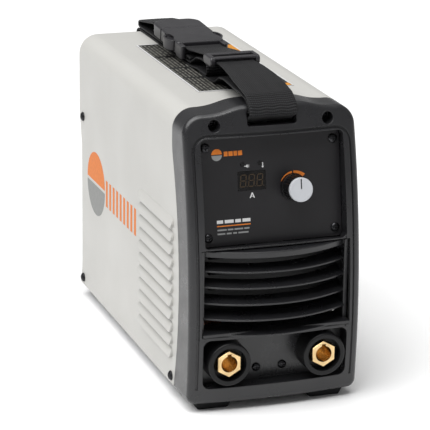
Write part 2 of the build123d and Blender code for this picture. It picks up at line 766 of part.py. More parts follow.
with BuildPart() as rear_seats:
    with BuildSketch(facing(Y0 + 297)):
        for centre, wide, tall in SEATS:
            with Locations(centre):
                Rectangle(wide, tall)
        with Locations((0, (REAR_SLOT_LOW + REAR_SLOT_HIGH) / 2)):
            Rectangle(2 * SLOT_HALF + 5, REAR_SLOT_HIGH - REAR_SLOT_LOW + 3)
    extrude(amount=-30)
    add(bow_outer, mode=Mode.INTERSECT)

with BuildPart() as rear_cover:
    add(rear_body.part)
    add(rear_hollow.part, mode=Mode.SUBTRACT)
    add(rear_seats.part)
    with BuildSketch(facing(REAR_FLAT)):
        with Locations(ROCKER_AT):
            Rectangle(27, 33)
        with Locations(GLAND_AT):
            Circle(15.5)
    extrude(amount=-30, mode=Mode.SUBTRACT)
    with BuildSketch(facing(Y0 + 290)):
        with Locations(ROCKER_AT):
            Rectangle(22.4, 28.0)
        with Locations(GLAND_AT):
            Circle(10.1)
        with Locations((0, (REAR_SLOT_LOW + REAR_SLOT_HIGH) / 2)):
            RectangleRounded(2 * SLOT_HALF, REAR_SLOT_HIGH - REAR_SLOT_LOW, 2)
        for row in range(-6, 7):
            chord = 2 * sqrt(54.0**2 - (8.4 * row) ** 2)
            with Locations((FAN_X, FAN_Z + 8.4 * row)):
                SlotOverall(max(chord, 12), 5.0)
    extrude(amount=-40, mode=Mode.SUBTRACT)
    for y, z in SIDE_SCREWS[1:]:
        with Locations(Location((0, y, z), (0, 90, 0))):
            Cylinder(2.0, WIDTH, mode=Mode.SUBTRACT)
save(rear_cover.part, "rear_cover")


# Fan ------------------------------------------------------------------------------------------
FAN_BORE, FAN_HUB = 57.0, 21.0
with BuildPart() as fan_frame:
    with BuildSketch(facing(FAN_FRONT)):
        with Locations((FAN_X, FAN_Z)):
            RectangleRounded(FAN_SIZE, FAN_SIZE, 6)
            Circle(FAN_BORE, mode=Mode.SUBTRACT)
            with GridLocations(105, 105, 2, 2):
                Circle(2.2, mode=Mode.SUBTRACT)
    extrude(amount=-FAN_DEPTH)
    with BuildSketch(facing(FAN_FRONT + FAN_DEPTH - 2.6)):
        with Locations((FAN_X, FAN_Z)):
            Circle(FAN_HUB)
        for turn in (20, 110, 200, 290):
            with Locations(Location((FAN_X, FAN_Z), turn)):
                with Locations((39, 0)):
                    Rectangle(38, 5)
    extrude(amount=-2.6)
    with BuildSketch(facing(FAN_FRONT + FAN_DEPTH - 2.6)):
        with Locations((FAN_X, FAN_Z)):
            Circle(3.0)
    extrude(amount=14)
save(fan_frame.part, "fan_frame")

with BuildPart() as blade_ring:
    with BuildSketch(facing(FAN_FRONT + 1.2)):
        with Locations((FAN_X, FAN_Z)):
            Circle(FAN_BORE - 1.2)
            Circle(FAN_HUB - 1, mode=Mode.SUBTRACT)
    extrude(amount=-20)

with BuildPart() as fan_blades:
    for turn in range(7):
        angle = radians(turn * 360 / 7)
        middle = Vector(FAN_X + 38 * cos(angle), FAN_FRONT + 11.2, FAN_Z + 38 * sin(angle))
        outward = Vector(cos(angle), 0, sin(angle))
        along = outward.cross(Vector(0, 1, 0)) * cos(radians(38)) + Vector(0, 1, 0) * sin(radians(38))
        with Locations(Plane(origin=middle, x_dir=outward, z_dir=outward.cross(along))):
            Box(42, 27, 1.8)
    add(blade_ring.part, mode=Mode.INTERSECT)

with BuildPart() as fan_rotor:
    with BuildSketch(facing(FAN_FRONT + 1.2)):
        with Locations((FAN_X, FAN_Z)):
            Circle(FAN_HUB)
    extrude(amount=-20.4)
    fillet(fan_rotor.faces().sort_by(Axis.Y)[0].edges(), 2)
    add(fan_blades.part)
    with BuildSketch(facing(FAN_FRONT + FAN_DEPTH)):
        with Locations((FAN_X, FAN_Z)):
            Circle(3.05)
    extrude(amount=17.5, mode=Mode.SUBTRACT)
save(fan_rotor.part, "fan_rotor")


# Power switch ---------------------------------------------------------------------------------
ROCKER_TILT = 8.0
ROCKER_HALF, ROCKER_PIVOT = 11.4, REAR_FLAT - 1.6
rocker_x, rocker_z = ROCKER_AT
with BuildPart() as switch_body:
    with BuildSketch(facing(REAR_FLAT)):
        with Locations(ROCKER_AT):
            RectangleRounded(25.4, 31, 2)
    extrude(amount=-2)
    with BuildSketch(facing(REAR_FLAT)):
        with Locations(ROCKER_AT):
            Rectangle(22, 27.6)
    extrude(amount=22)
    with BuildSketch(facing(REAR_FLAT + 2)):
        with Locations(ROCKER_AT):
            Rectangle(18.8, 23.8)
    extrude(amount=11, mode=Mode.SUBTRACT)
    with Locations(Location((rocker_x, ROCKER_PIVOT, rocker_z), (0, 90, 0))):
        Cylinder(1.55, 21.2, mode=Mode.SUBTRACT)
    with BuildSketch(facing(REAR_FLAT - 22)):
        with Locations(ROCKER_AT):
            with GridLocations(10, 14, 2, 2):
                Rectangle(0.8, 6.3)
    extrude(amount=9)
save(switch_body.part, "switch_body")

rocker_plane = Plane(
    origin=(rocker_x, ROCKER_PIVOT, rocker_z),
    x_dir=(0, cos(radians(ROCKER_TILT)), sin(radians(ROCKER_TILT))),
    z_dir=(1, 0, 0),
)
with BuildPart() as rocker:
    with BuildSketch(rocker_plane):
        with BuildLine():
            Polyline(
                (-2.0, -ROCKER_HALF), (5.6, -ROCKER_HALF + 0.6), (3.4, 0),
                (5.6, ROCKER_HALF - 0.6), (-2.0, ROCKER_HALF), close=True,
            )
        make_face()
    extrude(amount=9.1, both=True)
    with BuildSketch(rocker_plane):
        Circle(1.5)
    extrude(amount=10.4, both=True)
save(rocker.part, "rocker")


# Supply cord inlet ----------------------------------------------------------------------------
INLET_BORE = 5.3
with BuildPart() as inlet_body:
    with BuildSketch(facing(REAR_FLAT)):
        with Locations(GLAND_AT):
            RegularPolygon(13.4, 6)
    extrude(amount=-5)
    with BuildSketch(facing(REAR_FLAT + 9)):
        with Locations(GLAND_AT):
            Circle(10.0)
    extrude(amount=23)
    with BuildSketch(facing(REAR_FLAT + 9)):
        with Locations(GLAND_AT):
            Circle(INLET_BORE)
    extrude(amount=23, mode=Mode.SUBTRACT)
save(inlet_body.part, "inlet_body")

with BuildPart() as inlet_nut:
    with BuildSketch(facing(REAR_FLAT + 9.1)):
        with Locations(GLAND_AT):
            RegularPolygon(12.4, 6)
    extrude(amount=-6)
    with BuildSketch(facing(REAR_FLAT + 15.1)):
        with Locations(GLAND_AT):
            Circle(10.8)
    extrude(amount=-8)
    fillet(inlet_nut.faces().sort_by(Axis.Y)[-1].edges(), 3.5)
    with BuildSketch(facing(REAR_FLAT + 9)):
        with Locations(GLAND_AT):
            Circle(INLET_BORE + 0.7)
    extrude(amount=-20, mode=Mode.SUBTRACT)
save(inlet_nut.part, "inlet_nut")

with BuildPart() as inlet_locknut:
    with BuildSketch(facing(Y0 + 296.9)):
        with Locations(GLAND_AT):
            RegularPolygon(13.4, 6)
            Circle(10.1, mode=Mode.SUBTRACT)
    extrude(amount=5)
save(inlet_locknut.part, "inlet_locknut")


# Inside: board, standoffs, heatsinks and wound parts ------------------------------------------
BOARD_TOP, BOARD_THICK = Z0 + 47.9, 1.6
BOARD_FRONT, BOARD_REAR, BOARD_HALF = Y0 + 54.0, Y0 + 250.0, 60.0
BOARD_MIDDLE, BOARD_LENGTH = (BOARD_FRONT + BOARD_REAR) / 2, BOARD_REAR - BOARD_FRONT
with BuildPart() as main_board:
    with Locations((0, BOARD_MIDDLE, BOARD_TOP - BOARD_THICK / 2)):
        Box(2 * BOARD_HALF, BOARD_LENGTH, BOARD_THICK)
save(main_board.part, "main_board")

with BuildPart() as board_standoffs:
    with BuildSketch(Plane((0, BOARD_MIDDLE, Z0 + 2))):
        with GridLocations(108, BOARD_LENGTH / 2 - 8, 2, 3):
            RegularPolygon(4.0, 6)
    extrude(amount=BOARD_TOP - BOARD_THICK - Z0 - 2)
save(board_standoffs.part, "board_standoffs")

SINK_INNER, SINK_OUTER, SINK_TALL = 23.0, 60.0, 66.0
SINK_FRONT, SINK_REAR = Y0 + 96.0, Y0 + 216.0


def heatsink(side):
    """A comb of level fins on an upright base plate."""
    with BuildPart() as sink:
        with BuildSketch(facing(SINK_FRONT)):
            with Locations((side * (SINK_INNER + 2.5), BOARD_TOP + SINK_TALL / 2)):
                Rectangle(5, SINK_TALL)
            for row in range(9):
                with Locations((side * (SINK_INNER + SINK_OUTER) / 2, BOARD_TOP + 1 + row * 8)):
                    Rectangle(SINK_OUTER - SINK_INNER, 2)
        extrude(amount=SINK_FRONT - SINK_REAR)
    return sink.part


save(heatsink(-1), "heatsink_left")
save(heatsink(1), "heatsink_right")

CORE_Y, CORE_Z = Y0 + 180.0, BOARD_TOP + 24.0
with BuildPart() as transformer_core:
    with Locations((0, CORE_Y, CORE_Z)):
        Box(20, 56, 48)
        for side in (-1, 1):
            with Locations((0, side * 15, 0)):
                Box(20, 12, 32, mode=Mode.SUBTRACT)
save(transformer_core.part, "transformer_core")

with BuildPart() as transformer_winding:
    with Locations((0, CORE_Y, CORE_Z)):
        Box(38, 41, 31)
    fillet(transformer_winding.edges().filter_by(Axis.Z), 5)
    with Locations((0, CORE_Y, CORE_Z)):
        Box(20.6, 18.6, 31, mode=Mode.SUBTRACT)
save(transformer_winding.part, "transformer_winding")

with BuildPart() as output_choke:
    with BuildSketch(Plane.XZ):
        with Locations((13.5, 0)):
            RectangleRounded(11, 20, 4)
    revolve(axis=Axis.Z)
output_choke_placed = Location((0, Y0 + 122, BOARD_TOP + 10.2)) * output_choke.part
save(output_choke_placed, "output_choke")

with BuildPart() as capacitors:
    with BuildSketch(Plane((0, Y0 + 234, BOARD_TOP + 0.1))):
        with GridLocations(27, 1, 4, 1):
            Circle(11)
    extrude(amount=42)
save(capacitors.part, "capacitors")

with BuildPart() as rectifier:
    with Locations((0, Y0 + 84, BOARD_TOP + 5.1)):
        Box(30, 26, 10)
save(rectifier.part, "rectifier")

with BuildPart() as dial_nut:
    with BuildSketch(PANEL_PLANE.offset(0.05)):
        with Locations(KNOB_AT):
            RegularPolygon(5.6, 6)
            Circle(3.7, mode=Mode.SUBTRACT)
    extrude(amount=2.2)
save(dial_nut.part, "dial_nut")


# Strap anchors --------------------------------------------------------------------------------
def strap_anchor(bar, plate_y, plate_low, plate_high, holes):
    """A rod for the webbing, held by two lugs on a steel plate."""
    bar_y, bar_z = bar
    lug_from, lug_to = sorted((plate_y, bar_y))
    with BuildPart() as anchor:
        with Locations(Location((0, bar_y, bar_z), (0, 90, 0))):
            Cylinder(BAR_RADIUS, 49)
        with BuildSketch(facing(plate_y + 1.25)):
            with Locations((0, (plate_low + plate_high) / 2)):
                Rectangle(112, plate_high - plate_low)
            with Locations(*holes):
                Circle(2.1, mode=Mode.SUBTRACT)
        extrude(amount=2.5)
        for side in (-1, 1):
            with Locations((side * 22.8, (lug_from + lug_to) / 2, bar_z)):
                Box(3.0, lug_to - lug_from, 2 * BAR_RADIUS)
    return anchor.part


front_anchor = strap_anchor(FRONT_BAR, Y0 + 31.4, Z0 + 205.5, Z0 + 217.0, DEEP_SCREWS)
save(front_anchor, "strap_anchor_front")
rear_anchor = strap_anchor(REAR_BAR, Y0 + 283.4, Z0 + 199.0, Z0 + 214.0, [(-50, Z0 + 203), (50, Z0 + 203)])
save(rear_anchor, "strap_anchor_rear")


# Webbing --------------------------------------------------------------------------------------
def left_of(direction):
    return Vector(-direction.Y, direction.X)


def gathered():
    """Top view of the webbing from the front slot, where it is spread, to its fittings."""
    wide, narrow = STRAP_WIDE / 2, STRAP_NARROW / 2
    with BuildSketch(Plane.XY) as plan:
        with BuildLine():
            Polyline(
                (wide, Y0 - 10), (wide, Y0 + 45), (narrow, Y0 + 90), (narrow, Y0 + 330),
                (-narrow, Y0 + 330), (-narrow, Y0 + 90), (-wide, Y0 + 45), (-wide, Y0 - 10), close=True,
            )
        make_face()
    return extrude(plan.sketch, amount=300)


def ribbon(route, width):
    """Webbing drawn across X along a side-view route of (depth, height, bend radius) points."""
    points = [Vector(Y0 + y, Z0 + z) for y, z, _ in route]
    half = STRAP_THICK / 2
    first, last = (points[1] - points[0]).normalized(), (points[-1] - points[-2]).normalized()
    bends = []
    for before, here, after, (_, _, radius) in zip(points, points[1:], points[2:], route[1:]):
        into, out = (here - before).normalized(), (after - here).normalized()
        turn = acos(max(-1, min(1, into.dot(out))))
        hand = 1 if into.X * out.Y - into.Y * out.X > 0 else -1
        setback = radius * tan(turn / 2)
        start, end = here - into * setback, here + out * setback
        centre = start + left_of(into) * radius * hand
        apex = (here - centre).normalized()
        bends.append((start, end, into, out, centre, apex, radius, hand))
    with BuildPart() as band:
        with BuildSketch(Plane.YZ):
            with BuildLine():
                caps = []
                for side in (1, -1):
                    at = points[0] + left_of(first) * half * side
                    caps.append(at)
                    for start, end, into, out, centre, apex, radius, hand in bends:
                        entry = start + left_of(into) * half * side
                        crown = centre + apex * (radius - half * side * hand)
                        leave = end + left_of(out) * half * side
                        Line(at, entry)
                        ThreePointArc(entry, crown, leave)
                        at = leave
                    finish = points[-1] + left_of(last) * half * side
                    Line(at, finish)
                    caps.append(finish)
                Line(caps[0], caps[2])
                Line(caps[1], caps[3])
            make_face()
        extrude(amount=width / 2, both=True)
    return band.part


FRONT_WEBBING = [
    (160.2, 229.6, 0), (177.6, 230.1, 1.5), (177.4, 235.7, 1.5), (166.0, 235.9, 20), (126.0, 241.4, 30),
    (76.0, 241.4, 40), (55.0, 239.9, 40), (36.0, 237.7, 30), (17.5, 234.6, 10), (6.4, 227.0, 7),
    (6.3, 221.4, 2.2), (20.0, 213.0, 6), (28.1, 212.9, 4.05), (28.1, 221.1, 4.05), (9.4, 222.5, 1.6),
    (9.3, 226.0, 2.4), (17.0, 231.6, 8), (30.0, 233.6, 16), (52.0, 233.6, 30), (76.0, 232.8, 20),
    (90.0, 230.6, 10), (102.0, 224.2, 10), (114.0, 223.5, 12), (137.0, 223.5, 0),
]
REAR_WEBBING = [
    (259.0, 231.4, 0), (239.5, 231.6, 1.5), (239.3, 237.6, 1.5), (264.0, 237.0, 30), (302.5, 230.9, 2.2),
    (302.5, 226.2, 2.2), (162.0, 226.2, 16), (146.0, 233.8, 10), (132.0, 235.6, 8), (117.9, 235.6, 4.8),
    (117.9, 225.5, 4.8), (144.0, 225.5, 20), (159.0, 223.6, 20), (307.6, 223.6, 4.2),
    (307.6, 214.5, 2.4), (287.9, 214.6, 4.05), (287.9, 206.4, 4.05), (298.0, 206.4, 0),
]
strap_plan = gathered()
with BuildPart() as webbing_front:
    add(ribbon(FRONT_WEBBING, STRAP_WIDE))
    add(strap_plan, mode=Mode.INTERSECT)
save(webbing_front.part, "webbing_front")
save(ribbon(REAR_WEBBING, STRAP_NARROW), "webbing_rear")


# Strap slider ---------------------------------------------------------------------------------
SLIDER_HALF, SLIDER_CHEEK = 20.8, 3.8
with BuildPart() as strap_slider:
    with BuildSketch(Plane.YZ.offset(3 - SLIDER_HALF)):
        for y, z, thick in ((96.6, 244.3, 3.0), (109.4, 244.3, 3.0), (103.0, 239.2, 1.8)):
            with Locations((Y0 + y, Z0 + z)):
                SlotOverall(5.2, thick)
    extrude(amount=2 * SLIDER_HALF - 6)
    for side in (-1, 1):
        with BuildSketch(Plane.YZ.offset(side * (SLIDER_HALF - SLIDER_CHEEK / 2))):
            with Locations((Y0 + 103.0, Z0 + 242.1)):
                RectangleRounded(19.4, 7.8, 3.6)
        extrude(amount=SLIDER_CHEEK / 2, both=True)
    fillet(strap_slider.faces().sort_by(Axis.X)[0].edges(), 1.3)
    fillet(strap_slider.faces().sort_by(Axis.X)[-1].edges(), 1.3)
save(strap_slider.part, "strap_slider")


# Side-release buckle --------------------------------------------------------------------------
# Its plane's x is X, its y runs from the front bar to the rear, and its normal points up.
BUCKLE = shelf(BUCKLE_FRONT, BUCKLE_TILT)
BUCKLE_HALF, BUCKLE_THICK, MOUTH, MOUTH_GAP = 20.5, 11.0, 52.0, 0.6
BUCKLE_ROUND, CAVITY_HALF, CAVITY_HIGH = 1.8, 17.0, 6.8
ARM_HINGE, ARM_BARREL = (11.8, MOUTH + 2.6), 2.2


def level(height):
    return BUCKLE.offset(height)


def rim(body):
    """The edges of a buckle half's flat faces."""
    return body.edges().filter_by(lambda edge: abs(edge.tangent_at(0.5).dot(BUCKLE.z_dir)) < 0.01)


with BuildPart() as buckle_socket:
    with BuildSketch(level(-BUCKLE_THICK / 2)):
        with Locations((0, (7.6 + MOUTH) / 2)):
            RectangleRounded(2 * BUCKLE_HALF, MOUTH - 7.6, 2.5)
    extrude(amount=BUCKLE_THICK)
    fillet(rim(buckle_socket), BUCKLE_ROUND)
    with BuildSketch(level(-6.0)):  # legs beside the front bar
        for side in (-1, 1):
            with Locations((side * (BUCKLE_HALF - 2.2), 4.4)):
                RectangleRounded(4.4, 14.8, 2.1)
    extrude(amount=10.4)
    with BuildSketch(level(-CAVITY_HIGH / 2)):  # room for the arms
        with Locations((0, 60)):
            Rectangle(2 * CAVITY_HALF, 98)
    extrude(amount=CAVITY_HIGH, mode=Mode.SUBTRACT)
    with BuildSketch(level(-4.6)):  # side windows
        for side in (-1, 1):
            with Locations((side * 16, 27)):
                Rectangle(13, 27)
    extrude(amount=9.2, mode=Mode.SUBTRACT)
    with BuildSketch(level(-BUCKLE_THICK)):  # finger notches over the windows
        for side in (-1, 1):
            with Locations((side * 24.6, 27.5)):
                Ellipse(7.0, 11)
    extrude(amount=2 * BUCKLE_THICK, mode=Mode.SUBTRACT)
    with BuildSketch(level(-2.4)):  # the bar that the webbing wraps
        with Locations((0, 2)):
            Rectangle(2 * CAVITY_HALF, 4)
    extrude(amount=3.0)
save(buckle_socket.part, "buckle_socket")

with BuildPart() as buckle_plug:
    with BuildSketch(level(-BUCKLE_THICK / 2)):
        with Locations((0, MOUTH + 7)):
            RectangleRounded(2 * BUCKLE_HALF, 40, 11)
        with Locations((0, MOUTH + MOUTH_GAP - 20)):
            Rectangle(3 * BUCKLE_HALF, 40, mode=Mode.SUBTRACT)
    extrude(amount=BUCKLE_THICK)
    fillet(rim(buckle_plug), BUCKLE_ROUND)
    with BuildSketch(level(-BUCKLE_THICK)):  # open underneath behind the cheeks
        with Locations((0, 80)):
            Rectangle(2 * CAVITY_HALF, 30)
    extrude(amount=BUCKLE_THICK + 2.6, mode=Mode.SUBTRACT)
    with BuildSketch(level(-3.5)):  # the bar that the webbing wraps
        with Locations((0, 70.5)):
            Rectangle(2 * CAVITY_HALF, 4)
    extrude(amount=3.0)
    with BuildSketch(level(-2.2)):  # guide blade
        with Locations((0, 41)):
            Rectangle(5, 26)
    extrude(amount=4.4)
    with BuildSketch(level(-BUCKLE_THICK)):  # sockets for the arms' round roots
        with Locations((ARM_HINGE[0], ARM_HINGE[1]), (-ARM_HINGE[0], ARM_HINGE[1])):
            Circle(ARM_BARREL + 0.5)
    extrude(amount=BUCKLE_THICK + 3.4, mode=Mode.SUBTRACT)
save(buckle_plug.part, "buckle_plug")

ARM_SHAPE = [
    (10.4, 54.4), (13.2, 54.4), (13.4, 50.8), (14.6, 46.0), (16.6, 37.6), (17.6, 30.0), (16.6, 19.6),
    (14.9, 17.6), (12.8, 20.0), (11.4, 31.0), (10.2, 50.8),
]
for side, name in ((-1, "left"), (1, "right")):
    with BuildPart() as release_arm:
        with BuildSketch(level(-2.9)):
            with BuildLine():
                Polyline(*[(side * x, y) for x, y in ARM_SHAPE], close=True)
            make_face()
            with Locations((side * ARM_HINGE[0], ARM_HINGE[1])):
                Circle(ARM_BARREL)
        extrude(amount=5.8)
        with BuildSketch(level(-4.2)):
            with Locations((side * 19.2, 27.5)):
                Ellipse(5.8, 10.4)
        extrude(amount=8.4)
        with BuildSketch(level(4.2)):  # dished finger pad
            with Locations((side * 20.2, 27.5)):
                Ellipse(3.3, 7.4)
        extrude(amount=-1.2, mode=Mode.SUBTRACT)
    save(release_arm.part, f"release_arm_{name}")


# Feet and label -------------------------------------------------------------------------------
FOOT_X = 46.5
for x_side, x_name in ((-1, "left"), (1, "right")):
    for y, y_name in ((Y0 + 14.0, "front"), (Y0 + 289.0, "rear")):
        with BuildPart() as foot:
            with BuildSketch(Plane((x_side * FOOT_X, y, 0))):
                RectangleRounded(25, 23, 2)
            with BuildSketch(Plane((x_side * FOOT_X, y, FOOT_HEIGHT))):
                RectangleRounded(31, 27, 2)
            loft()
        save(foot.part, f"foot_{y_name}_{x_name}")

with BuildPart() as top_label:
    with Locations((5.0, Y0 + 164.0, TOP + 0.1)):
        Box(80, 166, 0.2)
save(top_label.part, "top_label")
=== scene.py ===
import json
from math import acos, cos, pi, radians, sin, tan
from random import Random

import bmesh
import bpy
from mathutils import Matrix, Vector


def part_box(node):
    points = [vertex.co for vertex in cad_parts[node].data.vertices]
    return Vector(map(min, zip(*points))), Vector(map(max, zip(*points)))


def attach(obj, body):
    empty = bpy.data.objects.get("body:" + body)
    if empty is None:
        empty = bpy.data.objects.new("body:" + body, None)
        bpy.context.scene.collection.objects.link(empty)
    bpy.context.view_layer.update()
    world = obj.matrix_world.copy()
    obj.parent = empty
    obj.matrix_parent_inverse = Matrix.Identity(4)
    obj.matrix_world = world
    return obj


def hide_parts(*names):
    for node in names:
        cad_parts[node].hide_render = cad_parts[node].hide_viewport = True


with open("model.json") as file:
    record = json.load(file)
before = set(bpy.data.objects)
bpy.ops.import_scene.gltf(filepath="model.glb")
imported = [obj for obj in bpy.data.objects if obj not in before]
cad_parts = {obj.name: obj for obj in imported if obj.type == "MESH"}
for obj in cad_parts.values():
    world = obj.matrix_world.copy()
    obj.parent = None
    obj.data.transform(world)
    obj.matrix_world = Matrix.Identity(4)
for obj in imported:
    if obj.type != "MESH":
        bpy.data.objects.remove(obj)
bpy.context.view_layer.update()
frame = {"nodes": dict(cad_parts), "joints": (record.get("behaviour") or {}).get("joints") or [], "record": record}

nodes, record = frame["nodes"], frame["record"]
MM = 0.001
MACHINE = "machine"


# --- Places taken from the CAD frame ----------------------------------------------------------
def corners(node):
    """Lowest and highest corner of a CAD node as vectors."""
    low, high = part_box(node)
    return Vector(low), Vector(high)


label_low, label_high = corners("top_label")
knob_joint = next(j for j in frame["joints"] if j["name"] == "dial_turn")
OUT = Vector(knob_joint["axis"]).normalized()  # out of the panel, towards the reader
UP = Vector((0, OUT.z, -OUT.y))  # up the panel's face
DIAL = Vector(knob_joint["pos_m"])
DIAL_X, DIAL_Y = 18.5, -0.8  # the dial's place on the panel, in millimetres from its middle
PANEL_MIDDLE = DIAL - Vector((DIAL_X * MM, 0, 0)) - UP * DIAL_Y * MM

ROUTE_Y, ROUTE_Z = -151.3, 11.0  # where depths and heights on the case start, in millimetres
SIDE_X = -70 * MM  # the casing's flat left side


def proud(node):
    """How far a CAD node stands out from the panel."""
    return max((v.co - PANEL_MIDDLE).dot(OUT) for v in nodes[node].data.vertices)


WINDOW_PROUD, CAP_PROUD = proud("display_window"), proud("knob_cap")


def on_panel(x, v, height=0.0):
    """A point on the control panel, in metres right of and above its middle."""
    return PANEL_MIDDLE + Vector((x, 0, 0)) + UP * v + OUT * height


def on_window(x, v, height=0.0):
    """A point on the display's window, placed as on the panel."""
    return on_panel(x, v, height + WINDOW_PROUD)


def on_cap(x, v, height=0.0):
    """A point on the knob's face, placed as on the panel."""
    return on_panel(x, v, height + CAP_PROUD)


def on_top(x, depth, height=0.0):
    """A point on the top label, in metres across and of depth on the case."""
    return Vector((x, depth + ROUTE_Y * MM, label_high.z + height))


def on_side(depth, z, height=0.0):
    """A point on the casing's left side, in metres of depth and height on the case."""
    return Vector((SIDE_X - height, depth + ROUTE_Y * MM, z + ROUTE_Z * MM))


# --- Materials --------------------------------------------------------------------------------
# Texture scales are repeats a metre. Bevel radii and grain heights are in metres.
EVEN = (1, 1, 1)  # texture coordinates that aren't stretched
COAT_ROUGHNESS = 0.12
MOTTLE_BAND = (0.35, 0.65)  # noise values between which the colour drifts
GLOSS_BAND = (0.3, 0.7)  # noise values between which the roughness drifts
BEVEL_SAMPLES = 4


def linear(value):
    """Scene-linear value of an 8-bit display value."""
    c = value / 255
    return c / 12.92 if c <= 0.04045 else ((c + 0.055) / 1.055) ** 2.4


def rgb(r, g, b):
    return (linear(r), linear(g), linear(b), 1.0)


def scaled(colour, factor, lift=0.0):
    """A colour made darker or lighter, its alpha left at 1."""
    return tuple(min(1, c * factor + lift) for c in colour[:3]) + (1,)


class Paint:
    """A Principled material with helpers that add procedural detail."""

    def __init__(self, name, colour, roughness, metallic=0.0, specular=0.5, coat=0.0, sheen=0.0):
        self.mat = bpy.data.materials.new(name)
        self.mat.use_nodes = True
        self.mat.diffuse_color = colour
        self.tree = self.mat.node_tree
        self.shader = self.tree.nodes["Principled BSDF"]
        self.colour, self.roughness, self.normal = colour, roughness, None
        for socket, value in (
            ("Base Color", colour),
            ("Roughness", roughness),
            ("Metallic", metallic),
            ("Specular IOR Level", specular),
            ("Coat Weight", coat),
            ("Coat Roughness", COAT_ROUGHNESS),
            ("Sheen Weight", sheen),
        ):
            self.shader.inputs[socket].default_value = value

    def node(self, kind, **values):
        made = self.tree.nodes.new(kind)
        for key, value in values.items():
            setattr(made, key, value)
        return made

    def link(self, source, target):
        self.tree.links.new(source, target)

    def coordinates(self, kind="Object", stretch=EVEN):
        texture = self.node("ShaderNodeTexCoord")
        mapping = self.node("ShaderNodeMapping")
        mapping.inputs["Scale"].default_value = stretch
        self.link(texture.outputs[kind], mapping.inputs["Vector"])
        return mapping.outputs["Vector"]

    def noise(self, scale, detail=3.0, stretch=EVEN):
        noise = self.node("ShaderNodeTexNoise")
        noise.inputs["Scale"].default_value = scale
        noise.inputs["Detail"].default_value = detail
        self.link(self.coordinates(stretch=stretch), noise.inputs["Vector"])
        return noise.outputs["Fac"]

    def ramp(self, source, band, low_value, high_value):
        """The source's band of values spread over another range."""
        ramp = self.node("ShaderNodeMapRange")
        for key, value in zip(
            ("From Min", "From Max", "To Min", "To Max"), (*band, low_value, high_value)
        ):
            ramp.inputs[key].default_value = value
        self.link(source, ramp.inputs["Value"])
        return ramp.outputs["Result"]

    def blend_colour(self, share, first, second):
        """Base colour that goes from the first colour to the second with a share from 0 to 1."""
        mix = self.node("ShaderNodeMix", data_type="RGBA")
        mix.inputs["A"].default_value = first
        mix.inputs["B"].default_value = second
        self.link(share, mix.inputs["Factor"])
        self.link(mix.outputs["Result"], self.shader.inputs["Base Color"])

    def mottle(self, scale, other):
        """Colour that drifts between the base colour and another."""
        self.blend_colour(self.ramp(self.noise(scale), MOTTLE_BAND, 0, 1), self.colour, other)
        return self

    def uneven_gloss(self, scale, spread, stretch=EVEN):
        """Roughness that drifts by a spread either way."""
        low, high = self.roughness - spread, self.roughness + spread
        drift = self.ramp(self.noise(scale, stretch=stretch), GLOSS_BAND, low, high)
        self.link(drift, self.shader.inputs["Roughness"])
        return self

    def soften(self, radius):
        """Rounds sharp edges in the shading."""
        bevel = self.node("ShaderNodeBevel")
        bevel.samples = BEVEL_SAMPLES
        bevel.inputs["Radius"].default_value = radius
        self.normal = bevel.outputs["Normal"]
        self.link(self.normal, self.shader.inputs["Normal"])
        return self

    def bump(self, source, height):
        bump = self.node("ShaderNodeBump")
        bump.inputs["Strength"].default_value = 1.0
        bump.inputs["Distance"].default_value = height
        self.link(source, bump.inputs["Height"])
        if self.normal:
            self.link(self.normal, bump.inputs["Normal"])
        self.normal = bump.outputs["Normal"]
        self.link(self.normal, self.shader.inputs["Normal"])
        return self

    def grain(self, scale, height, stretch=EVEN):
        return self.bump(self.noise(scale, 2.0, stretch), height)


def moulded(name, colour, roughness=0.5, grain=0.00006, specular=0.3, edge=0.0006):
    """Fine-textured moulded plastic, a little lighter in places."""
    paint = Paint(name, colour, roughness, specular=specular)
    lighter = scaled(colour, 1.2, 0.0008)
    return paint.soften(edge).mottle(18, lighter).uneven_gloss(60, 0.05).grain(2200, grain)


def metal(name, colour, roughness, stretch=EVEN, scratch=0.00002):
    """Bare metal with darker patches and fine scratches, drawn out along the stretch."""
    paint = Paint(name, colour, roughness, metallic=1.0)
    paint.soften(0.0003).mottle(120, scaled(colour, 0.72)).uneven_gloss(360, 0.08, stretch)
    return paint.grain(960, scratch, stretch)


def powder_coat():
    """Light grey powder coat: a faint drift of colour and a fine orange peel."""
    paint = Paint("powder coat", rgb(186, 185, 181), 0.42, specular=0.35)
    paint.soften(0.0006).mottle(6, rgb(181, 180, 176)).uneven_gloss(25, 0.05)
    return paint.grain(900, 0.00004)


def circuit():
    """Solder mask with tracks and pads."""
    mask = rgb(18, 74, 40)
    paint = Paint("solder mask", mask, 0.35, specular=0.6)
    brick = paint.node("ShaderNodeTexBrick")
    for socket, value in (
        ("Scale", 160),
        ("Color1", mask),
        ("Color2", rgb(24, 92, 48)),
        ("Mortar", rgb(46, 120, 66)),
        ("Mortar Size", 0.02),
    ):
        brick.inputs[socket].default_value = value
    paint.link(paint.coordinates(), brick.inputs["Vector"])
    paint.link(brick.outputs["Color"], paint.shader.inputs["Base Color"])
    return paint.bump(brick.outputs["Fac"], 0.00005)


RIB_PITCH, THREAD_PITCH = 0.002, 0.0013  # along and across the webbing, in metres
CHEVRON_WIDE, CHEVRON_PITCH = 0.00475, 0.013  # the herringbone's columns and its slant
THREAD_SHARE = 0.45  # the threads' height against the ribs'
WEAVE_BAND = (-0.7, 1.3)  # weave heights that go from the darkest painted shade in the hollows to the lightest painted highlight on the ribs
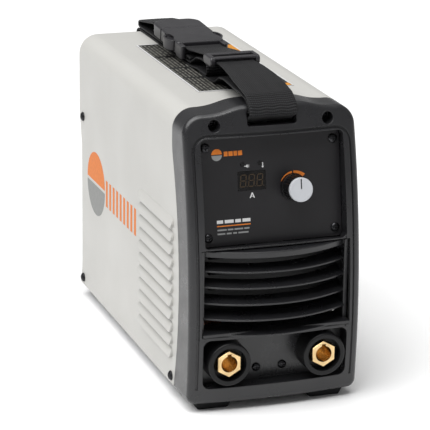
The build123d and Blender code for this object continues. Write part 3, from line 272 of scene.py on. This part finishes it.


def webbing_paint():
    """Black polypropylene webbing: a herringbone rib that follows the strap's own UV map."""
    paint = Paint("webbing weave", rgb(18, 18, 19), 0.5, specular=0.22, sheen=0.03)
    paint.shader.inputs["Sheen Roughness"].default_value = 0.4

    def maths(operation, source, *values):
        """One step of arithmetic. A value is a number or another node's output."""
        step = paint.node("ShaderNodeMath", operation=operation)
        paint.link(source, step.inputs[0])
        for socket, value in zip(step.inputs[1:], values):
            if isinstance(value, float):
                socket.default_value = value
            else:
                paint.link(value, socket)
        return step.outputs[0]

    split = paint.node("ShaderNodeSeparateXYZ")
    paint.link(paint.coordinates("UV"), split.inputs["Vector"])
    across, along = split.outputs["X"], split.outputs["Y"]
    zigzag = maths("PINGPONG", across, CHEVRON_WIDE)
    slant = maths("MULTIPLY", zigzag, 2 * pi / CHEVRON_PITCH)
    phase = maths("ADD", maths("MULTIPLY", along, 2 * pi / RIB_PITCH), slant)
    ribs = maths("SINE", phase)
    threads = maths("SINE", maths("MULTIPLY", across, 2 * pi / THREAD_PITCH))
    weave = maths("MULTIPLY_ADD", threads, THREAD_SHARE, ribs)
    height = paint.ramp(weave, WEAVE_BAND, 0, 1)
    # Colour follows the weave's height: painted highlight on the raised ribs and threads, painted shade in the
    # hollows between them.
    paint.blend_colour(height, rgb(5, 5, 6), rgb(42, 42, 44))
    return paint.bump(height, 0.0005).grain(3000, 0.00005)


def printed(name, colour):
    """Screen-printed ink with a slightly broken surface."""
    paint = Paint(name, colour, 0.4, specular=0.12)
    return paint.mottle(300, scaled(colour, 0.9)).grain(3000, 0.00001)


def smoked():
    """The display's dark clear window."""
    paint = Paint("smoked window", rgb(30, 26, 26), 0.12, specular=0.4)
    paint.shader.inputs["Transmission Weight"].default_value = 0.85
    paint.shader.inputs["IOR"].default_value = 1.45
    return paint.uneven_gloss(80, 0.04)


def enamel():
    """Copper winding wire under clear enamel, its turns stretched along the coil."""
    paint = Paint("enamelled winding", rgb(168, 92, 44), 0.3, coat=0.6)
    return paint.mottle(90, rgb(140, 66, 30)).grain(500, 0.0002, (1, 1, 6))


def sleeve():
    """The capacitors' blue shrink sleeve."""
    paint = Paint("shrink sleeve", rgb(28, 34, 66), 0.25, coat=0.3)
    return paint.mottle(60, rgb(34, 42, 80)).grain(700, 0.00002)


def film():
    """The top label's dark printed film."""
    paint = Paint("printed film", rgb(24, 24, 25), 0.34, specular=0.25)
    return paint.mottle(30, rgb(29, 29, 30)).grain(600, 0.00001)


PAINTS = {
    "black_plastic": moulded(
        "frame plastic", rgb(27, 27, 29), 0.3, specular=0.55, edge=0.001
    ),
    "panel_face": moulded("panel face", rgb(27, 26, 28), 0.34, grain=0.00003),
    "smoked_window": smoked(),
    "display": moulded("display body", rgb(22, 14, 14), 0.3, grain=0.00001),
    "lamp": moulded("lamp epoxy", rgb(20, 19, 20), 0.18, grain=0.00001),
    "circuit_board": circuit(),
    "steel": metal("zinc plate", rgb(188, 189, 192), 0.34),
    "black_steel": metal("black oxide", rgb(60, 60, 62), 0.3, scratch=0.00001),
    "knob_plastic": moulded("knob plastic", rgb(14, 14, 15), 0.3, grain=0.00002),
    "silver_plastic": moulded("silver face", rgb(174, 176, 180), 0.34, grain=0.00001),
    "socket_plastic": moulded(
        "socket moulding", rgb(13, 13, 14), 0.34, grain=0.00002, specular=0.25
    ),
    "brass": metal("turned brass", rgb(234, 202, 150), 0.2, stretch=(1, 14, 1)),
    "copper": metal("copper strap", rgb(205, 132, 96), 0.3),
    "grey_paint": powder_coat(),
    "webbing": webbing_paint(),
    "buckle_plastic": moulded(
        "buckle acetal", rgb(36, 35, 38), 0.32, grain=0.00002, specular=0.5
    ),
    "fan_plastic": moulded("black nylon", rgb(18, 18, 19), 0.45),
    "aluminium": metal("aluminium", rgb(205, 207, 209), 0.38, stretch=(1, 20, 1)),
    "ferrite": moulded("ferrite", rgb(56, 56, 60), 0.6, grain=0.00012),
    "enamel_wire": enamel(),
    "capacitor_sleeve": sleeve(),
    "label": film(),
    "foot_rubber": moulded(
        "foot rubber", rgb(24, 24, 25), 0.72, grain=0.00012, specular=0.2
    ),
}
INK_ORANGE = printed("orange ink", rgb(214, 122, 50))
INK_WHITE = printed("white ink", rgb(206, 206, 206))
INK_GREY = printed("grey ink", rgb(140, 141, 141))
INK_DIM = printed("dim grey ink", rgb(126, 125, 118))
INK_SIDE_ORANGE = printed("side orange ink", rgb(212, 114, 26))
INK_SIDE_GREY = printed("side grey ink", rgb(132, 133, 131))
INK_POINTER = printed("pointer ink", rgb(52, 52, 55))
INK_AMBER = printed("amber ink", rgb(204, 138, 52))
INK_SEGMENT = printed("unlit segment", rgb(66, 55, 42))

for entry in record["subparts"]:
    shown = nodes[entry["node"]]
    shown.data.materials.clear()
    shown.data.materials.append(PAINTS[entry["material_slot"]].mat)


# --- Making pieces ----------------------------------------------------------------------------
def new_object(name, build, paint):
    """An object with one material from a bmesh, which is freed."""
    mesh = bpy.data.meshes.new(name)
    build.to_mesh(mesh)
    build.free()
    mesh.materials.append(paint.mat)
    made = bpy.data.objects.new(name, mesh)
    bpy.context.collection.objects.link(made)
    return made


def ring_pairs(low, high):
    """The four-cornered faces between two rings of equally many points."""
    for i in range(len(low)):
        j = (i + 1) % len(low)
        yield low[i], low[j], high[j], high[i]


# --- Webbing ----------------------------------------------------------------------------------
STRAP_WIDE, STRAP_NARROW, STRAP_THICK = 38.6 * MM, 31.2 * MM, 1.6 * MM
GATHER_FROM, GATHER_TO = 45.0, 90.0  # depths between which the front webbing narrows
# Corners of each route: depth and height on the case, and bend radius, in millimetres.
FRONT_WEBBING = [
    (160.2, 229.6, 0), (177.6, 230.1, 1.5), (177.4, 235.7, 1.5), (166.0, 235.9, 20),
    (126.0, 241.4, 30), (76.0, 241.4, 40), (55.0, 239.9, 40), (36.0, 237.7, 30),
    (17.5, 234.6, 10), (6.4, 227.0, 7), (6.3, 221.4, 2.2), (20.0, 213.0, 6),
    (28.1, 212.9, 4.05), (28.1, 221.1, 4.05), (9.4, 222.5, 1.6), (9.3, 226.0, 2.4),
    (17.0, 231.6, 8), (30.0, 233.6, 16), (52.0, 233.6, 30), (76.0, 232.8, 20),
    (90.0, 230.6, 10), (102.0, 224.2, 10), (114.0, 223.5, 12), (137.0, 223.5, 0),
]
REAR_WEBBING = [
    (259.0, 231.4, 0), (239.5, 231.6, 1.5), (239.3, 237.6, 1.5), (264.0, 237.0, 30),
    (302.5, 230.9, 2.2), (302.5, 226.2, 2.2), (162.0, 226.2, 16), (146.0, 233.8, 10),
    (132.0, 235.6, 8), (117.9, 235.6, 4.8), (117.9, 225.5, 4.8), (144.0, 225.5, 20),
    (159.0, 223.6, 20), (307.6, 223.6, 4.2), (307.6, 214.5, 2.4), (287.9, 214.6, 4.05),
    (287.9, 206.4, 4.05), (298.0, 206.4, 0),
]
RUN_STEP, BEND_STEP = 1.6, 0.7  # spacing of rings on runs and in bends, in millimetres
SECTION_COLUMNS = 32
FLAT_SHARE = 0.9  # part of the half width whose points are evenly spaced
SELVEDGE_FROM, SELVEDGE_THINS = 0.955, 0.7  # where the edge starts to thin, and by how much
WANDER, WANDER_RATE = 0.3 * MM, 61  # sideways waver of slack webbing, and its radians a metre
CUP = 0.4 * MM  # how far the middle of slack webbing rises above its edges


def centre_line(route):
    """Points, in millimetres, along straight runs joined by tangent arcs."""
    points = [Vector((y, z)) for y, z, _ in route]
    line = [points[0]]
    for before, here, after, (_, _, radius) in zip(points, points[1:], points[2:], route[1:]):
        into, out = (here - before).normalized(), (after - here).normalized()
        turn = acos(max(-1, min(1, into.dot(out))))
        hand = 1 if into.x * out.y - into.y * out.x > 0 else -1
        setback = radius * tan(turn / 2)
        centre = here - into * setback + Vector((-into.y, into.x)) * radius * hand
        start = here - into * setback - centre
        count = max(2, int(radius * turn / BEND_STEP))
        for i in range(count + 1):
            angle = hand * turn * i / count
            line.append(centre + Matrix.Rotation(angle, 2) @ start)
    line.append(points[-1])
    fine = [line[0]]
    for a, b in zip(line, line[1:]):
        pieces = max(1, round((b - a).length / RUN_STEP))
        fine += [a.lerp(b, i / pieces) for i in range(1, pieces + 1)]
    return [p for i, p in enumerate(fine) if i == 0 or (p - fine[i - 1]).length > 1e-4]


def strap_section():
    """The strap's cross-section with soft selvedges, as (across, up).

    Across runs from -1 to 1, and up is in metres.
    """
    thick, edge_sine = STRAP_THICK / 2, sin(FLAT_SHARE * pi / 2)
    upper = []
    for i in range(SECTION_COLUMNS + 1):
        t = -1 + 2 * i / SECTION_COLUMNS
        across = sin(t * pi / 2) if abs(t) > FLAT_SHARE else t * edge_sine / FLAT_SHARE
        edge = max(0.0, (abs(across) - SELVEDGE_FROM) / (1 - SELVEDGE_FROM))
        upper.append((across, thick * (1 - SELVEDGE_THINS * edge**2)))
    return upper + [(across, -up) for across, up in reversed(upper)]


def strap_half(depth, gathers):
    """Half the strap's width, in metres, at a depth in millimetres."""
    share = (depth - GATHER_FROM) / (GATHER_TO - GATHER_FROM) if gathers else 1
    share = min(1, max(0, share))
    return (STRAP_WIDE + (STRAP_NARROW - STRAP_WIDE) * share) / 2


def strap(name, route, node, gathers):
    """Webbing along a route: flat at its ends, slightly cupped and wandering where it is slack."""
    line, section = centre_line(route), strap_section()
    build = bmesh.new()
    uv = build.loops.layers.uv.new("strap")
    rings, travelled = [], [0.0]
    for i, here in enumerate(line):
        ahead, behind = line[min(i + 1, len(line) - 1)], line[max(i - 1, 0)]
        if i:
            travelled.append(travelled[-1] + (here - line[i - 1]).length * MM)
        direction = (ahead - behind).normalized()
        up = Vector((-direction.y, direction.x))
        slack = sin(pi * i / (len(line) - 1))
        wander = WANDER * slack * sin(travelled[-1] * WANDER_RATE)
        half = strap_half(here.x, gathers)
        base = Vector(((here.x + ROUTE_Y) * MM, (here.y + ROUTE_Z) * MM))
        ring = []
        for across, lift in section:
            at = base + up * (lift + CUP * slack * (0.5 - across**2))
            ring.append(build.verts.new((across * half + wander, at.x, at.y)))
        rings.append(ring)
    count = len(section)
    for i, (a, b) in enumerate(zip(rings, rings[1:])):
        for j in range(count):
            k = (j + 1) % count
            face = build.faces.new((a[j], b[j], b[k], a[k]))
            for loop, (u, v) in zip(face.loops, ((j, i), (j, i + 1), (k, i + 1), (k, i))):
                loop[uv].uv = (section[u][0] * STRAP_NARROW / 2, travelled[v])
            face.smooth = True
    for ring in (rings[0][::-1], rings[-1]):
        build.faces.new(ring)
    bmesh.ops.recalc_face_normals(build, faces=build.faces)
    piece = new_object(name, build, PAINTS["webbing"])
    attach(piece, MACHINE)
    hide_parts(node)


strap("front_strap", FRONT_WEBBING, "webbing_front", True)
strap("rear_strap", REAR_WEBBING, "webbing_rear", False)

# --- Foam seals beside the air baffle ---------------------------------------------------------
SEAL_OUT, SEAL_DEEP, SEAL_ROUND = 5.8 * MM, 3.6 * MM, 1.4 * MM
SEAL_OVERLAP, SEAL_GAP = 0.4 * MM, 0.1 * MM  # over the baffle's edge, and behind its face
SEAL_LEVELS, SEAL_CORNER = 38, 6  # divisions up its height and round each corner
SEAL_SWELL, SEAL_SWELL_RATE = 0.12 * MM, 1.7  # the foam's unevenness, and its radians a level
baffle_low, baffle_high = corners("air_baffle")


def seal_profile(inner, front):
    """A strip's outline seen from above, with its two rear corners rounded."""
    outline = [(inner, front), (inner + SEAL_OUT, front)]
    turns = [pi / 2 * i / SEAL_CORNER for i in range(SEAL_CORNER + 1)]
    for turn in turns:
        x = inner + SEAL_OUT - SEAL_ROUND * (1 - cos(turn))
        outline.append((x, front + SEAL_DEEP - SEAL_ROUND * (1 - sin(turn))))
    for turn in turns:
        x = inner + SEAL_ROUND * (1 - sin(turn))
        outline.append((x, front + SEAL_DEEP - SEAL_ROUND * (1 - cos(turn))))
    return outline


profile = seal_profile(baffle_high.x - SEAL_OVERLAP, baffle_high.y + SEAL_GAP)
for side, name in ((-1, "left"), (1, "right")):
    build = bmesh.new()
    rings = []
    for i in range(SEAL_LEVELS + 1):
        z = baffle_low.z + (baffle_high.z - baffle_low.z) * i / SEAL_LEVELS
        swell = SEAL_SWELL * sin(i * SEAL_SWELL_RATE)
        rings.append([build.verts.new((side * x, y + swell, z)) for x, y in profile])
    for low, high in zip(rings, rings[1:]):
        for face in ring_pairs(low, high):
            build.faces.new(face)
    build.faces.new(rings[0])
    build.faces.new(rings[-1])
    bmesh.ops.recalc_face_normals(build, faces=build.faces)
    seal = new_object(f"baffle_seal_{name}", build, PAINTS["foot_rubber"])
    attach(seal, MACHINE)

# --- Thin printed shapes, drawn in millimetres ------------------------------------------------
INK_BASE, INK_THICK = 0.02 * MM, 0.06 * MM  # the ink's gap to the surface, and its thickness


def disc(x, y, radius, steps):
    """A disc as a polygon."""
    turns = [2 * pi * i / steps for i in range(steps)]
    return [(x + radius * cos(a), y + radius * sin(a)) for a in turns]


def half_disc(x, y, radius, start, steps=24):
    """A half disc with its flat side through its centre, turned to start at an angle."""
    turns = [radians(start + 180 * i / steps) for i in range(steps + 1)]
    return [(x + radius * cos(a), y + radius * sin(a)) for a in turns]


def rectangle(left, low, right, high):
    """A rectangle from its four edges."""
    return [(left, low), (right, low), (right, high), (left, high)]


def bar(x, y, width, height):
    """A rectangle from its left edge and its middle height."""
    return rectangle(x, y - height / 2, x + width, y + height / 2)


def blocks(x, y, height, widths, gap):
    """Plain blocks in a row, standing in for a line of lettering."""
    made = []
    for width in widths:
        made.append(bar(x, y, width, height))
        x += width + gap
    return made


def printing(name, shapes, place, paint, body=MACHINE):
    """Printed shapes as thin raised prisms on a surface given by a placing function."""
    build = bmesh.new()
    for shape in shapes:
        low = [build.verts.new(place(x * MM, y * MM, INK_BASE)) for x, y in shape]
        high = [build.verts.new(place(x * MM, y * MM, INK_BASE + INK_THICK)) for x, y in shape]
        build.faces.new(high)
        build.faces.new(low[::-1])
        for face in ring_pairs(low, high):
            build.faces.new(face)
    bmesh.ops.recalc_face_normals(build, faces=build.faces)
    bmesh.ops.triangulate(build, faces=[f for f in build.faces if len(f.verts) > 4])
    piece = new_object(name, build, paint)
    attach(piece, body)


# --- Panel printing ---------------------------------------------------------------------------
WEDGE_IN, WEDGE_THIN, WEDGE_GROWS = 11.0, 11.2, 2.6  # radii at its thin end, and its widening
WEDGE_START, WEDGE_SPAN = 152, 108  # degrees where it starts, and that it turns through
WEDGE_PARTS = ((152, 93), (88, 44))  # the degrees of its two parts, with a gap between
WEDGE_STEPS = 40
TEXT_LEFT, NOTES_LEFT = -44.4, -44.2
MARK_X, MARK_RADIUS = -42.6, 4.2
SEGMENT_LEAN, SEGMENT_STROKE = 0.1, 0.75
SEGMENT_CUT, POINT_SHARE, POINT_OUT = 0.6, 0.55, 1.3  # shares of the stroke, and a distance
DISPLAY_X, DISPLAY_Y = -14.95, 7.1  # the window's middle, from the panel's middle
DIGITS_AT, DIGIT_WIDE, DIGIT_HIGH = (-6.9, -0.2, 6.5), 4.3, 9.0
POINTER_UP, POINTER_WIDE, POINTER_LONG = 4.4, 0.8, 7.4  # its middle above the dial's centre


def wedge_part(start, end):
    """A stretch of the band round the dial, which widens clockwise."""
    angles = [start + (end - start) * i / WEDGE_STEPS for i in range(WEDGE_STEPS + 1)]
    ring = [(a, WEDGE_THIN + WEDGE_GROWS * (WEDGE_START - a) / WEDGE_SPAN) for a in angles]
    ring += [(a, WEDGE_IN) for a in reversed(angles)]
    return [(DIAL_X + r * cos(radians(a)), DIAL_Y + r * sin(radians(a))) for a, r in ring]


def seven_segments(x, y):
    """The bars of one numeral of a seven-segment display, with its point."""
    w, h, t, cut = DIGIT_WIDE / 2, DIGIT_HIGH / 2, SEGMENT_STROKE, SEGMENT_STROKE * SEGMENT_CUT
    shapes = [bar(-w + cut, v, 2 * (w - cut), t) for v in (-h, 0, h)]
    for u in (-w, w):
        for low, high in ((-h + cut, -cut), (cut, h - cut)):
            shapes.append(rectangle(u - t / 2, low, u + t / 2, high))
    shapes.append(disc(w + POINT_OUT, -h, t * POINT_SHARE, 12))
    return [[(x + u + SEGMENT_LEAN * v, y + v) for u, v in shape] for shape in shapes]


# A bar is its left edge, middle height, width and height. A row of blocks is its left edge,
# middle height, height, widths and gap.
printing(
    "power_wedge", [wedge_part(*part) for part in WEDGE_PARTS], on_panel, INK_ORANGE,
)
printing(
    "panel_rule", [bar(TEXT_LEFT, -26.2, 27.2, 0.8)], on_panel, INK_ORANGE
)
title = blocks(TEXT_LEFT, -22.9, 2.5, (5.0, 7.2, 4.6, 6.4), 1.3)
printing("panel_title", title, on_panel, INK_WHITE)
notes = blocks(NOTES_LEFT, -29.2, 1.2, (7.4, 4.6, 7.0, 4.2), 0.9)
notes += blocks(NOTES_LEFT, -32.2, 1.2, (6.2, 4.0, 3.0, 8.2), 1.2)
printing("panel_notes", notes, on_panel, INK_GREY)
letter_legs = [
    (-17.2, -6.4), (-16.4, -6.4), (-15.1, -3.3), (-13.8, -6.4), (-13.0, -6.4),
    (-14.7, -2.2), (-15.5, -2.2),
]
letter_bar = bar(-16.0, -5.1, 1.8, 0.55)
printing("unit_letter", [letter_legs, letter_bar], on_panel, INK_WHITE)
plug_mark = [
    bar(-20.9, 18.4, 1.7, 0.5), half_disc(-18.1, 18.4, 1.2, 90),
    bar(-18.1, 19.0, 1.4, 0.4), bar(-18.1, 17.8, 1.4, 0.4),
]
heat_mark = [bar(-6.2, 18.9, 0.7, 3.0), disc(-5.85, 17.2, 0.8, 16)]
printing("lamp_marks", plug_mark + heat_mark, on_panel, INK_WHITE)
pointer = bar(DIAL_X - POINTER_WIDE / 2, DIAL_Y + POINTER_UP, POINTER_WIDE, POINTER_LONG)
printing(
    "knob_pointer", [pointer], on_cap, INK_POINTER, body="dial"
)
digits = []
for place in DIGITS_AT:
    digits += seven_segments(DISPLAY_X + place, DISPLAY_Y)
printing("display_numerals", digits, on_window, INK_SEGMENT)
upper_mark = [half_disc(MARK_X, 29.0, MARK_RADIUS, 0)]
upper_mark += blocks(-36.8, 29.0, 3.6, (3.0, 3.4, 2.8, 3.4), 0.7)
printing("panel_mark_upper", upper_mark, on_panel, INK_ORANGE)
lower_mark = [half_disc(MARK_X, 28.3, MARK_RADIUS, 180)]
printing("panel_mark_lower", lower_mark, on_panel, INK_GREY)

# --- Side and top printing --------------------------------------------------------------------
SIDE_MARK_DEPTH, SIDE_MARK_Z, SIDE_MARK_RADIUS, SIDE_MARK_GAP = 247.0, 103.3, 26.3, 2.6
SIDE_STEPS = 40
STRIPES, STRIPE_FROM, STRIPE_PITCH, STRIPE_WIDE, STRIPE_HIGH = 9, 131.4, 10.1, 5.4, 23.0
STRIPE_Z = 103.4


def side_half(way, start):
    """The side mark's upper (1) or lower (-1) half disc."""
    z = SIDE_MARK_Z + way * SIDE_MARK_GAP / 2
    return half_disc(SIDE_MARK_DEPTH, z, SIDE_MARK_RADIUS, start, SIDE_STEPS)


printing("side_mark_lower", [side_half(-1, 180)], on_side, INK_SIDE_GREY)
stripes = [
    bar(STRIPE_FROM + STRIPE_PITCH * i, STRIPE_Z, STRIPE_WIDE, STRIPE_HIGH)
    for i in range(STRIPES)
]
upper_side = [side_half(1, 0)] + stripes
printing("side_mark_upper", upper_side, on_side, INK_SIDE_ORANGE)

ROW_PITCH, ROW_WIDE = 3.2, 1.2
SHORTEST_STROKE, STROKE_LENGTHS, STROKE_GAPS = 1.5, (2.2, 9.0), (1.0, 2.4)
LABEL_RIM = 1.5
PRINT_DEPTHS = ((2.5, 44), (48, 78), (82, 118), (122, 163))  # from the label's front edge
PRINT_LEFT, PRINT_RIGHT = (2.4, 30), (31, 8)  # from its left edge, and from its right edge


def hairlines(left, right, front, rear, draw):
    """Rows of short strokes along the case, standing in for small print."""
    rows = []
    for i in range(int((right - left) / ROW_PITCH)):
        x, y = left + i * ROW_PITCH, front
        while y < rear - SHORTEST_STROKE:
            length = min(draw.uniform(*STROKE_LENGTHS), rear - y)
            rows.append(rectangle(x, y, x + ROW_WIDE, y + length))
            y += length + draw.uniform(*STROKE_GAPS)
    return rows


label_left, label_right = label_low.x / MM, label_high.x / MM
label_front, label_rear = label_low.y / MM - ROUTE_Y, label_high.y / MM - ROUTE_Y
draw = Random(11)
small_print = []
for left, right in (
    [label_left + inset for inset in PRINT_LEFT],
    [label_right - inset for inset in PRINT_RIGHT],
):
    for front, rear in PRINT_DEPTHS:
        small_print += hairlines(left, right, label_front + front, label_front + rear, draw)
printing("label_small_print", small_print, on_top, INK_DIM)
inner_left, inner_right = label_left + LABEL_RIM, label_right - LABEL_RIM
border = [
    rectangle(label_left, label_front, inner_left, label_rear),
    rectangle(inner_right, label_front, label_right, label_rear),
    rectangle(inner_left, label_front, inner_right, label_front + LABEL_RIM),
    rectangle(inner_left, label_rear - LABEL_RIM, inner_right, label_rear),
]
printing("label_border", border, on_top, INK_WHITE)
patches = [
    bar(label_right - 8.0, label_front + 133, 6.4, 28),
    bar(label_right - 7.2, label_front + 5, 6.0, 8),
]
printing("label_colour_patches", patches, on_top, INK_AMBER)

# --- Stage, light and camera ------------------------------------------------------------------
FLOOR_HALF, FLOOR_WHITE = 15.0, 0.96
WORLD_STRENGTH = 0.29
SUN_STRENGTH, SUN_ANGLE, SUN_DIRECTION = 2.7, radians(50), Vector((0.5, 0.12, -0.85))
LIT_POINT = Vector((0, 0, 0.12))

floor_mesh = bpy.data.meshes.new("floor")
floor_corners = rectangle(-FLOOR_HALF, -FLOOR_HALF, FLOOR_HALF, FLOOR_HALF)
floor_mesh.from_pydata([(x, y, 0) for x, y in floor_corners], [], [(0, 1, 2, 3)])
floor_paint = Paint("studio floor", (FLOOR_WHITE,) * 3 + (1,), 0.6, specular=0.2)
floor_mesh.materials.append(floor_paint.mat)
floor = bpy.data.objects.new("floor", floor_mesh)
bpy.context.collection.objects.link(floor)

world = bpy.data.worlds.new("studio")
bpy.context.scene.world = world
world.use_nodes = True
background = world.node_tree.nodes["Background"]
background.inputs["Color"].default_value = (1, 1, 1, 1)
background.inputs["Strength"].default_value = WORLD_STRENGTH


def hang(name, light, direction, place=(0, 0, 0)):
    """A light in the scene, shining in a direction."""
    lamp = bpy.data.objects.new(name, light)
    bpy.context.collection.objects.link(lamp)
    lamp.location = place
    lamp.rotation_euler = direction.to_track_quat("-Z", "Y").to_euler()


def softbox(name, place, size, power):
    """A rectangular light that faces the object."""
    light = bpy.data.lights.new(name, "AREA")
    light.shape = "RECTANGLE"
    light.size, light.size_y = size
    light.energy = power
    hang(name, light, LIT_POINT - Vector(place), place)


# Places and sizes are in metres, and power is in watts.
softbox("key", (-0.1, -1.1, 2.3), (1.1, 0.8), 17)
softbox("overhead", (0.1, 0.2, 2.2), (1.4, 1.4), 10)
sun_light = bpy.data.lights.new("sun", "SUN")
sun_light.energy, sun_light.angle = SUN_STRENGTH, SUN_ANGLE
hang("sun", sun_light, SUN_DIRECTION)

CAMERA_AT = Vector((-0.6033, -1.7458, 0.6843))
AZIMUTH, ELEVATION, ROLL = radians(-19.20), radians(17.30), radians(0.79)
FOCAL, SENSOR, FAR_CLIP = 195.5, 36.0, 50
back = Vector((sin(AZIMUTH) * cos(ELEVATION), -cos(AZIMUTH) * cos(ELEVATION), sin(ELEVATION)))
level_right = Vector((cos(AZIMUTH), sin(AZIMUTH), 0))
level_up = back.cross(level_right)
right = level_right * cos(ROLL) + level_up * sin(ROLL)
up = level_up * cos(ROLL) - level_right * sin(ROLL)
camera_data = bpy.data.cameras.new("camera")
camera_data.lens, camera_data.sensor_width = FOCAL, SENSOR
camera_data.clip_end = FAR_CLIP
camera = bpy.data.objects.new("camera", camera_data)
bpy.context.collection.objects.link(camera)
turned = Matrix((right, up, back)).transposed().to_4x4()
camera.matrix_world = Matrix.Translation(CAMERA_AT) @ turned
bpy.context.scene.camera = camera
bpy.context.scene.view_settings.view_transform = "Standard"
